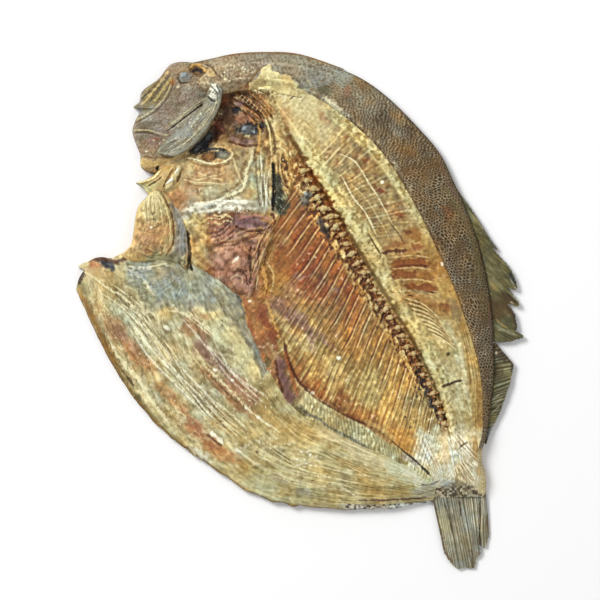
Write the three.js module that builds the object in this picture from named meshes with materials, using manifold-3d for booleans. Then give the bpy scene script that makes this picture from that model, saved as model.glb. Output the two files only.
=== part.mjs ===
// A dried flounder, split along its back and opened flat, lying on its pale blind side.
// Millimetres: +Y runs from the tail fin to the head, +X to the back fin, +Z up from the table.
// The trunk keeps the backbone and its ribs. The upper fillet is turned over the belly hinge and
// lies flesh up as a flap at the lower left. Scaly skin and the back fin are left along the right.
import * as THREE from "three";
import { mergeVertices } from "three/addons/utils/BufferGeometryUtils.js";
import Module from "manifold-3d";

const wasm = await Module();
wasm.setup();

// Driving dimensions: heights above the table
const FLESH = 7.0; // dried flesh of the trunk
const SPINE_TOP = 8.6; // bed of the backbone
const RIDGE_TOP = 9.4; // flesh left standing beside the backbone
const LADDER_TOP = 7.8; // fin supports at the foot of the skin
const COMB_TOP = 5.6; // fin supports that show beside the flap
const SKIN_EDGE = 9.2; // cut edge of the skin margin
const SKIN_RIM = 2.8; // the same skin at the foot of the back fin
const FLAP_TOP = 9.5; // crown of the turned-over fillet
const FLAP_RIM = 3.2;
const NECK_FLOOR = 6.2;
const HEAD_TOP = 14.5;
const HEAD_RIM = 5.5;
const NAPE_CROWN = 13.0;
const THROAT_TOP = 14.0;
const THROAT_RIM = 5.0;
const JAW_TOP = 10.2;
const JAW_RIM = 4.5;
const EYE_TOP = 14.0;
const GILL_PLATE_TOP = 11.6;

// Driving dimensions: thicknesses, relief and counts
const FOOT_INSET = 1.6; // the rounded foot stands this far inside the rim
const FIN_THICK = 0.9;
const GILL_PLATE_THICK = 2.2;
const RAY_RISE = 0.45;
const RIB_RISE = 0.8;
const FIBRE_RISE = 0.55;
const VERTEBRA_R = 1.7;
const VERTEBRAE = 31;
const BACK_RAYS = 25;
const REAR_RAYS = 12;
const TAIL_RAYS = 13;

// Rails: each one is a smooth curve through places seen from above. Rails of one sheet have the
// same number of places, and the sheet's cross lines join them one to one.
const SPINE = [[-16, 106.5], [-8.5, 86.5], [6, 60.5], [18.5, 41], [30.5, 20.5], [43.5, -1],
  [60, -29], [71.5, -56.5], [78, -83.5]];
const RIDGE = [[-19, 113.5], [-2, 91.5], [13.5, 65], [26, 46], [39, 24.5], [52, 3], [68, -29],
  [75.5, -55], [81.5, -83]];
const LADDER = [[-22, 118], [8, 101], [34, 79.5], [51, 56.5], [64, 33], [75.5, 5.5], [86, -28.5],
  [89, -58.5], [86.5, -82.5]];
const SKIN_IN = [[-25, 122], [11, 105], [38.5, 82], [55.5, 56.5], [68.5, 30.5], [79.5, 4.5],
  [89.5, -29], [92, -57], [90, -82.5]];
const SKIN_OUT = [[-30, 128.5], [26, 118.8], [63.5, 87], [79, 63], [90.8, 35.5], [95.5, 4],
  [97, -29], [94, -59], [91, -82.5]];
const HINGE = [[-43, 80.5], [-36, 48], [-25, 21.5], [-17, -8.5], [0, -35.5], [21.5, -51],
  [48, -67], [65, -81.5], [70, -89.5]];
const FLAP_OUT = [[-112.3, 11.5], [-101.5, -13], [-88, -36.5], [-70, -58.5], [-47.5, -76],
  [-19.5, -93.5], [12.5, -99], [42.5, -98.8], [66.5, -95.5]];
const FLAP_IN = [[-110.5, 23], [-84, 27], [-52, 25.5], [-31, 5.5], [-19, -20.5], [-4, -47.5],
  [22.5, -63.5], [48.5, -76], [69, -89.5]];
const NECK_LEFT = [[-42, 112], [-52, 95], [-67, 78], [-71, 66], [-65, 46], [-62, 16]];
const NECK_RIGHT = [[-18, 113], [-13, 97], [-8, 81], [-2, 64], [-10, 43], [-24, 10]];
const NAPE_TOP = [[-66, 122], [-47, 125.8], [-33, 128.8], [-17, 129.7], [0, 128.6], [22, 121.4]];
const NAPE_LOW = [[-58, 112], [-42, 108], [-30, 110], [-17, 110], [0, 107], [16, 106]];
const BACK_FIN_FOOT = [[68.5, 76], [77.5, 62], [84, 49.3], [89.5, 38], [93, 24.5], [95, 10.5],
  [96, -2], [96.5, -15]];
const BACK_FIN_TIP = [[73.5, 71.5], [82.5, 57], [93, 41.5], [100.5, 28.5], [107.5, 15],
  [109.5, 5], [109, -5], [111.5, -14.5]];
const REAR_FIN_FOOT = [[96.5, -16.5], [97, -27], [96.5, -37], [95, -47], [92.5, -57], [90, -65]];
const REAR_FIN_TIP = [[98.5, -17.5], [106.5, -25], [106, -35], [102, -46], [98.5, -55.5],
  [92.5, -67.5]];
const TAIL_FOOT = [[65.2, -88], [71, -87.5], [76, -86], [81, -85], [86, -84.5], [90, -84],
  [93.3, -83.5]];
const TAIL_TIP = [[70.5, -117.5], [74.5, -125.5], [79, -129.5], [84, -129.5], [88.5, -128.5],
  [91, -120.5], [94.3, -118.5]];

// Outlines and the middles that their rings close in on
const HEAD = [[-64.5, 123.5], [-70.8, 117.2], [-79, 111], [-80.5, 101.5], [-83, 93.5],
  [-84, 88.5], [-81.5, 80.5], [-79, 72], [-71, 73], [-61, 75.5], [-52, 82.5], [-45.5, 90.5],
  [-42, 98.5], [-41, 106], [-42, 113.5], [-47, 121], [-55, 124.5]];
const HEAD_MIDDLE = [-61, 100];
const GILL_PLATE = [[-71, 77.5], [-67, 85], [-58, 93.5], [-48, 102.5], [-42.5, 112.5],
  [-38.5, 110.5], [-40.5, 100.5], [-46.5, 90], [-53.5, 82.5], [-61, 77.5]];
const GILL_PLATE_MIDDLE = [-53, 92];
const THROAT = [[-71, 63.5], [-76, 57], [-81.5, 50], [-83, 38], [-88, 29], [-80, 20],
  [-67.5, 17.5], [-56, 20], [-54.5, 35.5], [-57, 44.5], [-63, 55]];
const THROAT_MIDDLE = [-70.5, 38];
const JAW = [[-82, 64], [-76, 66.5], [-68, 73], [-60, 72], [-58, 64], [-64, 58], [-71, 58],
  [-76.5, 58.5]];
const JAW_MIDDLE = [-67.5, 66];
const EYES = [{ middle: [-50, 119.2], radius: 2.9 }, { middle: [-58.5, 114.8], radius: 2.6 }];

// Curves, shares and unevenness

const mix = THREE.MathUtils.lerp;
const fade = THREE.MathUtils.smoothstep;

/** A smooth curve through the places; a share from 0 to 1 meets them in even steps. */
function rail(places) {
  const curve = new THREE.SplineCurve(places.map(([x, y]) => new THREE.Vector2(x, y)));
  return (share) => curve.getPoint(THREE.MathUtils.clamp(share, 0, 1));
}

/** A closed outline through the places. */
function outline(places) {
  const points = places.map(([x, y]) => new THREE.Vector3(x, y, 0));
  const curve = new THREE.CatmullRomCurve3(points, true, "centripetal");
  return (share) => curve.getPoint(share - Math.floor(share));
}

/** A repeatable number from 0 to 1 for each whole number. */
function chance(n) {
  const wide = Math.sin(n * 127.1 + 11.7) * 43758.5453;
  return wide - Math.floor(wide);
}

/** Smooth unevenness from -1 to 1 over a plan, with bumps about `size` across. */
function uneven(x, y, size) {
  const [u, v] = [x / size, y / size];
  const [i, j] = [Math.floor(u), Math.floor(v)];
  const [a, b] = [fade(u - i, 0, 1), fade(v - j, 0, 1)];
  const corner = (p, q) => 2 * chance(p * 57 + q * 131) - 1;
  const low = mix(corner(i, j), corner(i + 1, j), a);
  const high = mix(corner(i, j + 1), corner(i + 1, j + 1), a);
  return mix(low, high, b);
}

/** A soft oval mound with its top at (cx, cy): 1 in the middle and 0 at its rim. */
function mound(x, y, cx, cy, rx, ry, turn = 0) {
  const [c, s] = [Math.cos(turn), Math.sin(turn)];
  const [dx, dy] = [x - cx, y - cy];
  const away = Math.hypot((dx * c + dy * s) / rx, (dy * c - dx * s) / ry);
  return away >= 1 ? 0 : 0.5 + 0.5 * Math.cos(Math.PI * away);
}

// Solids from grids of points

/** Joins loose triangles, given as corner after corner, into one closed solid. */
function solid(corners) {
  const positions = new Float32Array(corners.length * 3);
  corners.forEach((p, i) => positions.set([p.x, p.y, p.z], i * 3));
  const loose = new THREE.BufferGeometry();
  loose.setAttribute("position", new THREE.BufferAttribute(positions, 3));
  const joined = mergeVertices(loose, 1e-4);
  return new wasm.Manifold(new wasm.Mesh({
    numProp: 3,
    vertProperties: joined.attributes.position.array,
    triVerts: new Uint32Array(joined.index.array),
  }));
}

/** Adds a flat face to the list as a fan of triangles, turned over unless `up`. */
function addFace(list, up, ...corners) {
  const turned = up ? corners : corners.reverse();
  for (let k = 1; k + 1 < turned.length; k++) list.push(turned[0], turned[k], turned[k + 1]);
}

/** Adds the faces of a whole grid of points. */
function addGrid(list, up, grid) {
  for (let i = 0; i + 1 < grid.length; i++) {
    for (let j = 0; j + 1 < grid[i].length; j++) {
      addFace(list, up, grid[i][j], grid[i + 1][j], grid[i + 1][j + 1], grid[i][j + 1]);
    }
  }
}

/** The border of a grid as one loop of points. */
function border(grid) {
  const [rows, last] = [grid.length - 1, grid[0].length - 1];
  const near = grid.slice(0, rows).map((row) => row[0]);
  const far = grid.slice(1).reverse().map((row) => row[last]);
  return [...near, ...grid[rows].slice(0, last), ...far, ...grid[0].slice(1).reverse()];
}

/** Twice the signed area of a loop seen from above. */
function turnOf(loop) {
  return loop.reduce((sum, p, i) => {
    const q = loop[(i + 1) % loop.length];
    return sum + p.x * q.y - q.x * p.y;
  }, 0);
}

/** A place under `p` at the height `base`, moved towards `goal` by `inset`. */
function footUnder(p, goal, inset, base) {
  const plan = new THREE.Vector2(goal.x - p.x, goal.y - p.y);
  plan.setLength(Math.min(inset, 0.4 * plan.length()));
  return new THREE.Vector3(p.x + plan.x, p.y + plan.y, base);
}

/** A slab from a grid of top points down to a flat foot at the height `base`. */
function slab(grid, base) {
  const list = [];
  const [rows, last] = [grid.length - 1, grid[0].length - 1];
  const up = turnOf(border(grid)) > 0;
  const foot = grid.map((row) => {
    const middle = row[0].clone().lerp(row[last], 0.5);
    return row.map((p) => footUnder(p, middle, FOOT_INSET, base));
  });
  for (const row of [foot[0], foot[rows]]) {
    for (let j = 1; j < last; j++) row[j].lerpVectors(row[0], row[last], j / last);
  }
  addGrid(list, up, grid);
  for (let i = 0; i < rows; i++) {
    addFace(list, up, grid[i][0], foot[i][0], foot[i + 1][0], grid[i + 1][0]);
    addFace(list, up, grid[i + 1][last], foot[i + 1][last], foot[i][last], grid[i][last]);
  }
  for (let i = 1; i + 1 < rows; i++) {
    addFace(list, up, foot[i + 1][0], foot[i][0], foot[i][last], foot[i + 1][last]);
  }
  const [head, tail] = [foot[1][0], foot[rows - 1][last]];
  for (let j = 0; j < last; j++) {
    addFace(list, up, grid[rows][j], foot[rows][j], foot[rows][j + 1], grid[rows][j + 1]);
    addFace(list, up, grid[0][j + 1], foot[0][j + 1], foot[0][j], grid[0][j]);
    addFace(list, up, head, foot[0][j], foot[0][j + 1]);
    addFace(list, up, tail, foot[rows][j + 1], foot[rows][j]);
  }
  addFace(list, up, head, foot[0][last], foot[1][last]);
  addFace(list, up, tail, foot[rows][0], foot[rows - 1][0]);
  return solid(list);
}

/** A thin sheet between two grids of the same size. */
function sheet(top, under) {
  const list = [];
  const [upper, lower] = [border(top), border(under)];
  const up = turnOf(upper) > 0;
  addGrid(list, up, top);
  addGrid(list, !up, under);
  upper.forEach((p, i) => {
    const k = (i + 1) % upper.length;
    addFace(list, up, p, lower[i], lower[k], upper[k]);
  });
  return solid(list);
}

/** A grid between two rails: `height` gives z from the shares and the place. */
function between(left, right, columns, rows, height) {
  const grid = [];
  for (let i = 0; i <= columns; i++) {
    const u = i / columns;
    const [a, b] = [left(u), right(u)];
    grid.push([]);
    for (let j = 0; j <= rows; j++) {
      const v = j / rows;
      const [x, y] = [mix(a.x, b.x, v), mix(a.y, b.y, v)];
      grid[i].push(new THREE.Vector3(x, y, height(u, v, x, y)));
    }
  }
  return grid;
}

/** Spokes from a middle to a closed outline, each a line of points without the middle itself. */
function spokes(edge, [cx, cy], segments, rings, height) {
  return Array.from({ length: segments + 1 }, (_, i) => {
    const p = edge((i % segments) / segments);
    return Array.from({ length: rings }, (_, r) => {
      const share = (r + 1) / rings;
      const [x, y] = [mix(cx, p.x, share), mix(cy, p.y, share)];
      return new THREE.Vector3(x, y, height(x, y, share));
    });
  });
}

/** A mound inside a closed outline, down to a flat foot at the height `base`. */
function dome(edge, middle, base, segments, rings, height) {
  const list = [];
  const peak = new THREE.Vector3(...middle, height(...middle, 0));
  const under = new THREE.Vector3(...middle, base);
  const lines = spokes(edge, middle, segments, rings, height);
  for (const line of lines) line.push(footUnder(line[rings - 1], peak, FOOT_INSET, base));
  const up = turnOf(lines.slice(0, segments).map((line) => line[0])) > 0;
  addGrid(list, !up, lines);
  for (let i = 0; i < segments; i++) {
    addFace(list, up, peak, lines[i][0], lines[i + 1][0]);
    addFace(list, !up, under, lines[i][rings], lines[i + 1][rings]);
  }
  return solid(list);
}

// Trunk: ribs, backbone, ladder of fin supports and the margin of scaly skin

const spine = rail(SPINE);
const ridge = rail(RIDGE);
const ladder = rail(LADDER);
const skinIn = rail(SKIN_IN);
const skinOut = rail(SKIN_OUT);
const hinge = rail(HINGE);

/** The flesh thins from the neck to the tail, and where the gill hollow is. */
function fullness(u) {
  const neckEnd = mix(0.45, 1, fade(u, 0.02, 0.2));
  return neckEnd * mix(1, 0.78, fade(u, 0.7, 0.94)) * mix(1, 0.5, fade(u, 0.94, 1));
}

/** Ribs as ridges: one for each vertebra, and one more between them out by the belly. */
function ribs(u, outwards) {
  const phase = u * VERTEBRAE;
  const main = 0.5 + 0.5 * Math.cos(2 * Math.PI * phase);
  const twice = 0.5 + 0.5 * Math.cos(4 * Math.PI * phase);
  return mix(main, twice, fade(outwards, 0.45, 0.6));
}

/** Half the width of the backbone: each vertebra swells at both ends and is waisted between. */
function boneHalf(u) {
  const swell = 0.82 + 0.18 * Math.cos(2 * Math.PI * u * VERTEBRAE);
  return VERTEBRA_R * mix(1.15, 0.7, u) * swell;
}

/** A place beside the spine, `side` half-widths of the backbone towards the back fin. */
function besideSpine(u, side) {
  const start = spine(u);
  return ridge(u).sub(start).setLength(side * boneHalf(u)).add(start);
}

/** Lanes across the trunk, each one from its line to the next: rows, and height at its start. */
const LANES = [
  { name: "underlap", at: (u) => hinge(u).lerp(spine(u), -0.4), rows: 1, top: 0.5 * COMB_TOP },
  { name: "comb", at: (u) => hinge(u).lerp(spine(u), -0.1), rows: 1, top: COMB_TOP },
  { name: "comb", at: (u) => hinge(u).lerp(spine(u), 0.07), rows: 1, top: COMB_TOP - 0.3 },
  { name: "ribs", at: (u) => hinge(u).lerp(spine(u), 0.16), rows: 4, top: 0.72 * FLESH },
  { name: "bed", at: (u) => besideSpine(u, -1), rows: 1, top: FLESH },
  { name: "bone", at: (u) => spine(u), rows: 1, top: SPINE_TOP },
  { name: "groove", at: (u) => besideSpine(u, 1), rows: 1, top: FLESH - 0.9 },
  { name: "ladder", at: (u) => ridge(u), rows: 2, top: RIDGE_TOP },
  { name: "step", at: (u) => ladder(u), rows: 1, top: LADDER_TOP },
  { name: "step", at: (u) => skinIn(u), rows: 1, top: FLESH },
  { name: "skin", at: (u) => skinIn(u).lerp(skinOut(u), 0.12), rows: 1, top: SKIN_EDGE },
  { name: "skin", at: (u) => skinIn(u).lerp(skinOut(u), 0.6), rows: 1, top: 0.82 * SKIN_EDGE },
  { name: "rim", at: (u) => skinOut(u), rows: 1, top: SKIN_RIM },
];

/** How far a lane's own relief stands up at a share of the trunk and of the lane. */
function relief(name, u, share) {
  const shown = fade(u, 0.12, 0.2) * (1 - fade(u, 0.9, 0.97));
  const arch = Math.sin(Math.PI * share);
  switch (name) {
    case "comb": return 0.75 * RIB_RISE * ribs(u, 1) * shown;
    case "ribs": return RIB_RISE * ribs(u, 1 - share) * shown * Math.sqrt(arch);
    case "bone": return (boneHalf(u) - 0.2) * shown;
    case "ladder": return (RIB_RISE * ribs(u, 0) * shown - 1.1) * arch;
    default: return 0;
  }
}

/** One cross line of the trunk at share `u` of its length. */
function trunkRow(u) {
  const row = [];
  LANES.forEach((lane, k) => {
    const next = LANES[k + 1] ?? lane;
    const [a, b] = [lane.at(u), next.at(u)];
    for (let j = 0; j < lane.rows; j++) {
      const share = j / lane.rows;
      const [x, y] = [mix(a.x, b.x, share), mix(a.y, b.y, share)];
      const z = mix(lane.top, next.top, share) * fullness(u) + relief(lane.name, u, share);
      row.push(new THREE.Vector3(x, y, z + 0.35 * uneven(x, y, 9)));
    }
  });
  return row;
}

function trunk() {
  const start = 0.06; // the rails' first places lie under the nape
  const columns = Math.round(VERTEBRAE * 4 * (1 - start));
  const grid = Array.from({ length: columns + 1 }, (_, i) => trunkRow(mix(start, 1, i / columns)));
  return slab(grid, 0);
}

// Flap: the fillet turned over, flesh up, with fibre bundles along it

function flap() {
  const height = (u, v) => {
    const crown = Math.sin(Math.PI * mix(0.06, 0.8, v)) ** 0.7;
    const full = crown * fade(u, -0.05, 0.14) * mix(1, 0.62, fade(u, 0.62, 1));
    const bundles = Math.sin(2 * Math.PI * (4.2 * v + 0.35 * Math.sin(5 * u)));
    const grain = uneven(u * 60, v * 90, 12);
    return mix(FLAP_RIM, FLAP_TOP, full) + FIBRE_RISE * (bundles + 0.9 * grain) * full;
  };
  return slab(between(rail(FLAP_OUT), rail(FLAP_IN), 34, 12, height), 0.4);
}

// Neck: gill hollow, collar bone plate and its lip, and the dark meat below them

function neck() {
  const height = (u, v, x, y) => {
    const hollow = 2.6 * mound(x, y, -33, 97, 19, 17);
    const plate = 2.6 * mound(x, y, -38, 71, 27, 17, 0.1) ** 0.6;
    const lip = 1.1 * mound(x, y, -40, 55.5, 25, 5, 0.22);
    const liver = 2.1 * mound(x, y, -29, 44, 14, 6.5, 0.2);
    const meat = 1.5 * mound(x, y, -36, 30, 10, 8, 0.6);
    const side = 1.2 * mound(x, y, -19, 74, 5, 22, 0.06);
    return NECK_FLOOR - hollow + plate + lip + liver + meat + side + 0.5 * uneven(x, y, 6);
  };
  return slab(between(rail(NECK_LEFT), rail(NECK_RIGHT), 18, 11, height), 2.5);
}

// Head: gill cover with its snout folds, nape, eyes, free gill plate, throat and jaw

function head() {
  const height = (x, y, share) => {
    const crown = mix(HEAD_TOP, HEAD_RIM, share ** 2.6);
    const waves = Math.sin((x * 0.62 - y * 0.5) * 1.15);
    const folds = 0.8 * waves * mound(x, y, -72, 108, 14, 18, -0.7);
    const sunk = 1.2 * mound(x, y, -58, 99, 13, 9, 0.7);
    return crown + folds - sunk + 0.3 * uneven(x, y, 5);
  };
  return dome(outline(HEAD), HEAD_MIDDLE, 0.2, 38, 5, height);
}

/** Skin over the skull, running back into the skin margin. */
function nape() {
  const height = (u, v, x, y) => {
    const roll = Math.sin(Math.PI * mix(0.1, 0.62, v));
    const crown = mix(NAPE_CROWN, SKIN_EDGE, fade(u, 0, 0.6)) * mix(1, 0.5, fade(u, 0.6, 1));
    return mix(SKIN_RIM, crown, roll) + 0.4 * uneven(x, y, 7);
  };
  return slab(between(rail(NAPE_TOP), rail(NAPE_LOW), 16, 5, height), 1.2);
}

/** Leaf-shaped lower gill plate, standing free over the gill hollow. */
function gillPlate() {
  const [cx, cy] = GILL_PLATE_MIDDLE;
  const height = (x, y, share) => {
    const slope = 0.06 * (y - cy) - 0.1 * (x - cx);
    return GILL_PLATE_TOP + slope + 1.3 * share ** 3 + 0.25 * uneven(x, y, 4);
  };
  const [segments, rings] = [22, 2];
  const top = spokes(outline(GILL_PLATE), [cx, cy], segments, rings, height);
  const drop = new THREE.Vector3(0, 0, GILL_PLATE_THICK);
  const under = top.map((line) => line.map((p) => p.clone().sub(drop)));
  const hub = new THREE.Vector3(cx, cy, height(cx, cy, 0));
  const up = turnOf(top.slice(0, segments).map((line) => line[0])) > 0;
  const list = [];
  addGrid(list, !up, top);
  addGrid(list, up, under);
  for (let i = 0; i < segments; i++) {
    const [a, b] = [top[i], top[i + 1]];
    const [c, d] = [under[i], under[i + 1]];
    addFace(list, up, hub, a[0], b[0]);
    addFace(list, !up, hub.clone().sub(drop), c[0], d[0]);
    addFace(list, up, a[rings - 1], c[rings - 1], d[rings - 1], b[rings - 1]);
  }
  return solid(list);
}

/** Both eyes lie on the upper side; dried, they are low blunt knobs. */
function eyes() {
  return EYES.map(({ middle: [x, y], radius }) => {
    const ring = outline([[x + radius, y], [x, y + radius], [x - radius, y], [x, y - radius]]);
    const height = (px, py, share) => EYE_TOP - 1.6 * (1 - Math.sqrt(1 - share ** 2));
    return dome(ring, [x, y], 9, 8, 2, height);
  });
}

/** Throat: a smooth dome with the collar's fold down its right side. */
function throat() {
  const height = (x, y, share) => {
    const fold = 2.2 * mound(x, y, -63, 42, 3.4, 24, 0.12);
    return mix(THROAT_TOP, THROAT_RIM, share ** 2.4) - fold + 0.35 * uneven(x, y, 6);
  };
  return dome(outline(THROAT), THROAT_MIDDLE, 0, 30, 5, height);
}

/** Tip of the lower jaw and the flesh behind it. */
function jaw() {
  const height = (x, y, share) => mix(JAW_TOP, JAW_RIM, share ** 2) + 0.4 * uneven(x, y, 4);
  return dome(outline(JAW), JAW_MIDDLE, 1.5, 16, 2, height);
}

// Fins: a membrane with a ridge for each ray, and tips of uneven length

/** A fin between two rails: `torn` is how uneven its tips are and `curl` lifts them. */
function fin(foot, tip, rays, rows, { torn, root, curl }) {
  const columns = rays * 2;
  const layer = (thick, rise) => {
    const place = (i, j) => {
      const u = i / columns;
      const onRay = i % 2 === 0;
      const reach = 1 + torn * (chance(i * 3 + 1) - (onRay ? 0.6 : 1.1));
      const v = mix(-0.12, reach, j / rows);
      const [a, b] = [foot(u), tip(u)];
      const wave = curl * Math.max(0, v) ** 2 * (1 + 0.6 * Math.sin(9 * u + 1));
      const ridgeUp = onRay ? rise * (1 - 0.5 * (j / rows)) : 0;
      return new THREE.Vector3(mix(a.x, b.x, v), mix(a.y, b.y, v), root + wave + thick + ridgeUp);
    };
    return Array.from({ length: columns + 1 },
      (_, i) => Array.from({ length: rows + 1 }, (_, j) => place(i, j)));
  };
  return sheet(layer(FIN_THICK, RAY_RISE), layer(0, 0));
}

function fins() {
  const [backFoot, backTip] = [rail(BACK_FIN_FOOT), rail(BACK_FIN_TIP)];
  const [rearFoot, rearTip] = [rail(REAR_FIN_FOOT), rail(REAR_FIN_TIP)];
  const [tailFoot, tailTip] = [rail(TAIL_FOOT), rail(TAIL_TIP)];
  return [
    fin(backFoot, backTip, BACK_RAYS, 2, { torn: 0.22, root: 1.1, curl: 2.2 }),
    fin(rearFoot, rearTip, REAR_RAYS, 2, { torn: 0.1, root: 1.1, curl: 1.8 }),
    fin(tailFoot, tailTip, TAIL_RAYS, 4, { torn: 0.03, root: 2.2, curl: -0.8 }),
  ];
}

// The whole fish as one solid

/** The joined solid as a mesh's geometry. */
function geometryOf(whole) {
  const { vertProperties, triVerts } = whole.getMesh();
  const geometry = new THREE.BufferGeometry();
  geometry.setAttribute("position", new THREE.BufferAttribute(vertProperties, 3));
  geometry.setIndex(new THREE.BufferAttribute(triVerts, 1));
  geometry.computeVertexNormals();
  return geometry;
}

const pieces = [trunk(), flap(), neck(), head(), nape(), gillPlate(), ...eyes(), throat(), jaw(),
  ...fins()];
const whole = pieces.reduce((sum, piece) => sum.add(piece));

const flesh = new THREE.MeshStandardMaterial({ color: 0xb0905a, roughness: 0.55, metalness: 0 });
const fish = new THREE.Mesh(geometryOf(whole), flesh);
fish.name = "flounder";

const group = new THREE.Group();
group.add(fish);
export default group;
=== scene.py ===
"""A dried flounder, split along the back and opened flat, lying with its cut side up on a pale floor.

Plan sizes are millimetres: +X to the back fin, +Y to the head, +Z up. They become metres when a mesh is made.
Each form is a grid that is laid between its rails, raised and painted in its own plan, and closed below.
"""

import logging
import math
from dataclasses import dataclass, field
from enum import Enum
from typing import Any, Callable, ClassVar, Sequence

import bpy
import numpy as np
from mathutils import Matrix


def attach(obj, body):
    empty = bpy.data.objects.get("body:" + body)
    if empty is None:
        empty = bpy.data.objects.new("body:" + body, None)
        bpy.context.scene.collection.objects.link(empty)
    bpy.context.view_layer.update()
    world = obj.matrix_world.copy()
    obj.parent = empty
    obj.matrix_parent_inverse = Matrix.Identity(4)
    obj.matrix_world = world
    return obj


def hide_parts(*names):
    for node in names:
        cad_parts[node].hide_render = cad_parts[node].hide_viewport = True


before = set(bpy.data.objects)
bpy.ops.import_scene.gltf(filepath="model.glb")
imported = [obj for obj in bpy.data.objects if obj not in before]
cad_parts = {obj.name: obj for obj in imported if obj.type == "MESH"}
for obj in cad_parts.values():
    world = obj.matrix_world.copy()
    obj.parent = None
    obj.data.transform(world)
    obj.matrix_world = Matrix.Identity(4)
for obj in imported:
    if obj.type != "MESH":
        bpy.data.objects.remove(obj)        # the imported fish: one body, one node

Field = np.ndarray
Point = tuple[float, float]
Triple = tuple[float, float, float]
Path = tuple[float, ...]  # x and y in turn
Options = dict[Any, Any] | None

MM = 0.001
BODY = "root"
NODE = "flounder"
PAINT_STRENGTH = 0.94
CREASE = 55  # degrees at which an edge stays sharp
WELD = 0.002 * MM
FRAY = 1.2  # how ragged a fibre is
FLOOR_DROP = 0.0004
VERTEBRA_PITCH = 5.37
TRUNK_START = 0.05  # share of the spine where the two trunk panels begin
WAIST = 2.8  # how far the edge is drawn in before the tail
TAIL_Y = -72
FAN = (80, -130)  # where the fibres at the root of the tail draw together

log = logging.getLogger("flounder")


# Plan curves


def smooth(low: float, high: float, value: Field) -> Field:
    """Eased step from 0 at low to 1 at high."""
    t = np.clip((value - low) / (high - low), 0, 1)
    return t * t * (3 - 2 * t)


def mix(first: Any, second: Any, share: Any) -> Any:
    """Straight blend of two values."""
    return first + (second - first) * share


def bell(value: Field, width: float) -> Field:
    """Soft ridge that is 1 at 0 and fades over width."""
    return np.exp(-((value / width) ** 2))


class Rail:
    """A smooth curve in plan through even stations."""

    def __init__(self, *numbers: float, closed: bool = False) -> None:
        """Keeps the stations, x and y in turn, which a closed curve runs through in a ring."""
        self.points = np.reshape(numbers, (-1, 2)).astype(float)
        self.closed = closed

    def at(self, share: Field) -> Field:
        """Places along the curve.

        Args:
            share: from 0 at the first station to 1 at the last.

        Returns:
            One (x, y) row for each share.
        """
        count = len(self.points)
        spans = count if self.closed else count - 1
        step = np.clip(share, 0, 1) * spans
        start = np.minimum(step.astype(int), spans - 1)
        t = (step - start)[..., None]
        if self.closed:
            a, b, c, d = (self.points[(start + k) % count] for k in (-1, 0, 1, 2))
        else:
            a, b, c, d = (self.points[np.clip(start + k, 0, count - 1)] for k in (-1, 0, 1, 2))
        in_slope, out_slope = (c - a) / 2, (d - b) / 2
        return (
            (2 * b - 2 * c + in_slope + out_slope) * t**3
            + (3 * c - 3 * b - 2 * in_slope - out_slope) * t**2
            + in_slope * t
            + b
        )

    def length(self, share: Field) -> Field:
        """Millimetres along the curve at each share."""
        steps = np.linspace(0, 1, 400)
        path = self.at(steps)
        run = np.concatenate([[0], np.cumsum(np.hypot(*np.diff(path, axis=0).T))])
        return np.interp(share, steps, run)


SPINE = Rail(-16, 106.5, -8.5, 86.5, 6, 60.5, 18.5, 41, 30.5, 20.5, 43.5, -1, 60, -29, 71.5, -56.5, 79, -93)
RIDGE = Rail(-19, 113.5, -2, 91.5, 13.5, 65, 26, 46, 39, 24.5, 52, 3, 68, -29, 75.5, -55, 82.5, -93)
LADDER = Rail(-22, 118, 8, 101, 34, 79.5, 51, 56.5, 64, 33, 75.5, 5.5, 86, -28.5, 89, -58.5, 88.8, -93)
SKIN_IN = Rail(
    -25, 122, 11, 105, 38.5, 82, 55.5, 56.5, 68.5, 30.5, 79.5, 4.5, 89.5, -29, 91.3, -58, 91.2, -93,
)
SKIN_OUT = Rail(-30, 128.5, 26, 118.8, 63.5, 87, 77.8, 63, 88.6, 35, 95.2, 4.5, 97, -29, 94.2, -59, 93.2, -91)
HINGE = Rail(-43, 80.5, -36, 48, -25, 21.5, -17, -8.5, 0, -35.5, 21.5, -51, 48, -67, 65, -81.5, 68, -93.5)
FLAP_OUT = Rail(
    -112.3, 11.5, -101.5, -13, -88, -36.5, -70, -58.5, -47.5, -76, -19.5, -93.5, 12.5, -99, 42.5, -98.8,
    66.5, -95.5,
)
FLAP_IN = Rail(
    -110.5, 23, -84, 27, -54, 29, -32, 10, -21.5, -17, -4, -47.5, 22.5, -63.5, 48.5, -75, 68.5, -87,
)
FLAP_TIP = Rail(-111.6, 22.1, -108.2, 20.8, -109.4, 18.6, -110.6, 16.4, -111.6, 13.4, -112.2, 10.5)
FLAP_BROW = Rail(
    -111.6, 0, -108.7, 1.2, -106, 1.4, -102.9, 2.4, -98.9, 2.1, -94.9, 0.9, -91.8, 1.5, -88, 2.6, -80, 2,
    -70, 0,
)
FILM_EDGE = Rail(
    -88, 15, -80, 8, -73.4, 1.5, -60, 2.4, -48, 2.5, -38.5, -1.5, -31.5, -8, -25.5, -18, -19, -31,
)
NECK_LEFT = Rail(-42, 112, -52, 95, -67, 78, -71, 66, -66, 46, -57, 24)
NECK_RIGHT = Rail(-11, 115, -8, 98, -4, 81, -1, 64, -10, 43, -25, 3)
NAPE_TOP = Rail(-66, 122, -47, 125.8, -33, 128.8, -17, 129.7, 0, 128.6, 22, 121.4)
NAPE_LOW = Rail(-58, 112, -42, 108, -30, 110, -17, 110, 0, 107, 16, 106)
BACK_FOOT = Rail(
    66, 79, 73.5, 67.5, 79, 58, 81.5, 53.5, 83, 50, 84.5, 46.5, 85.5, 43.5, 87, 39.5, 88.4, 35, 90, 30,
    91.3, 25.5, 92, 22, 93, 17.5, 93.8, 14, 94.4, 9, 95, 3, 95.4, -1, 95.8, -6, 96.4, -11, 97, -14.8,
)
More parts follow.
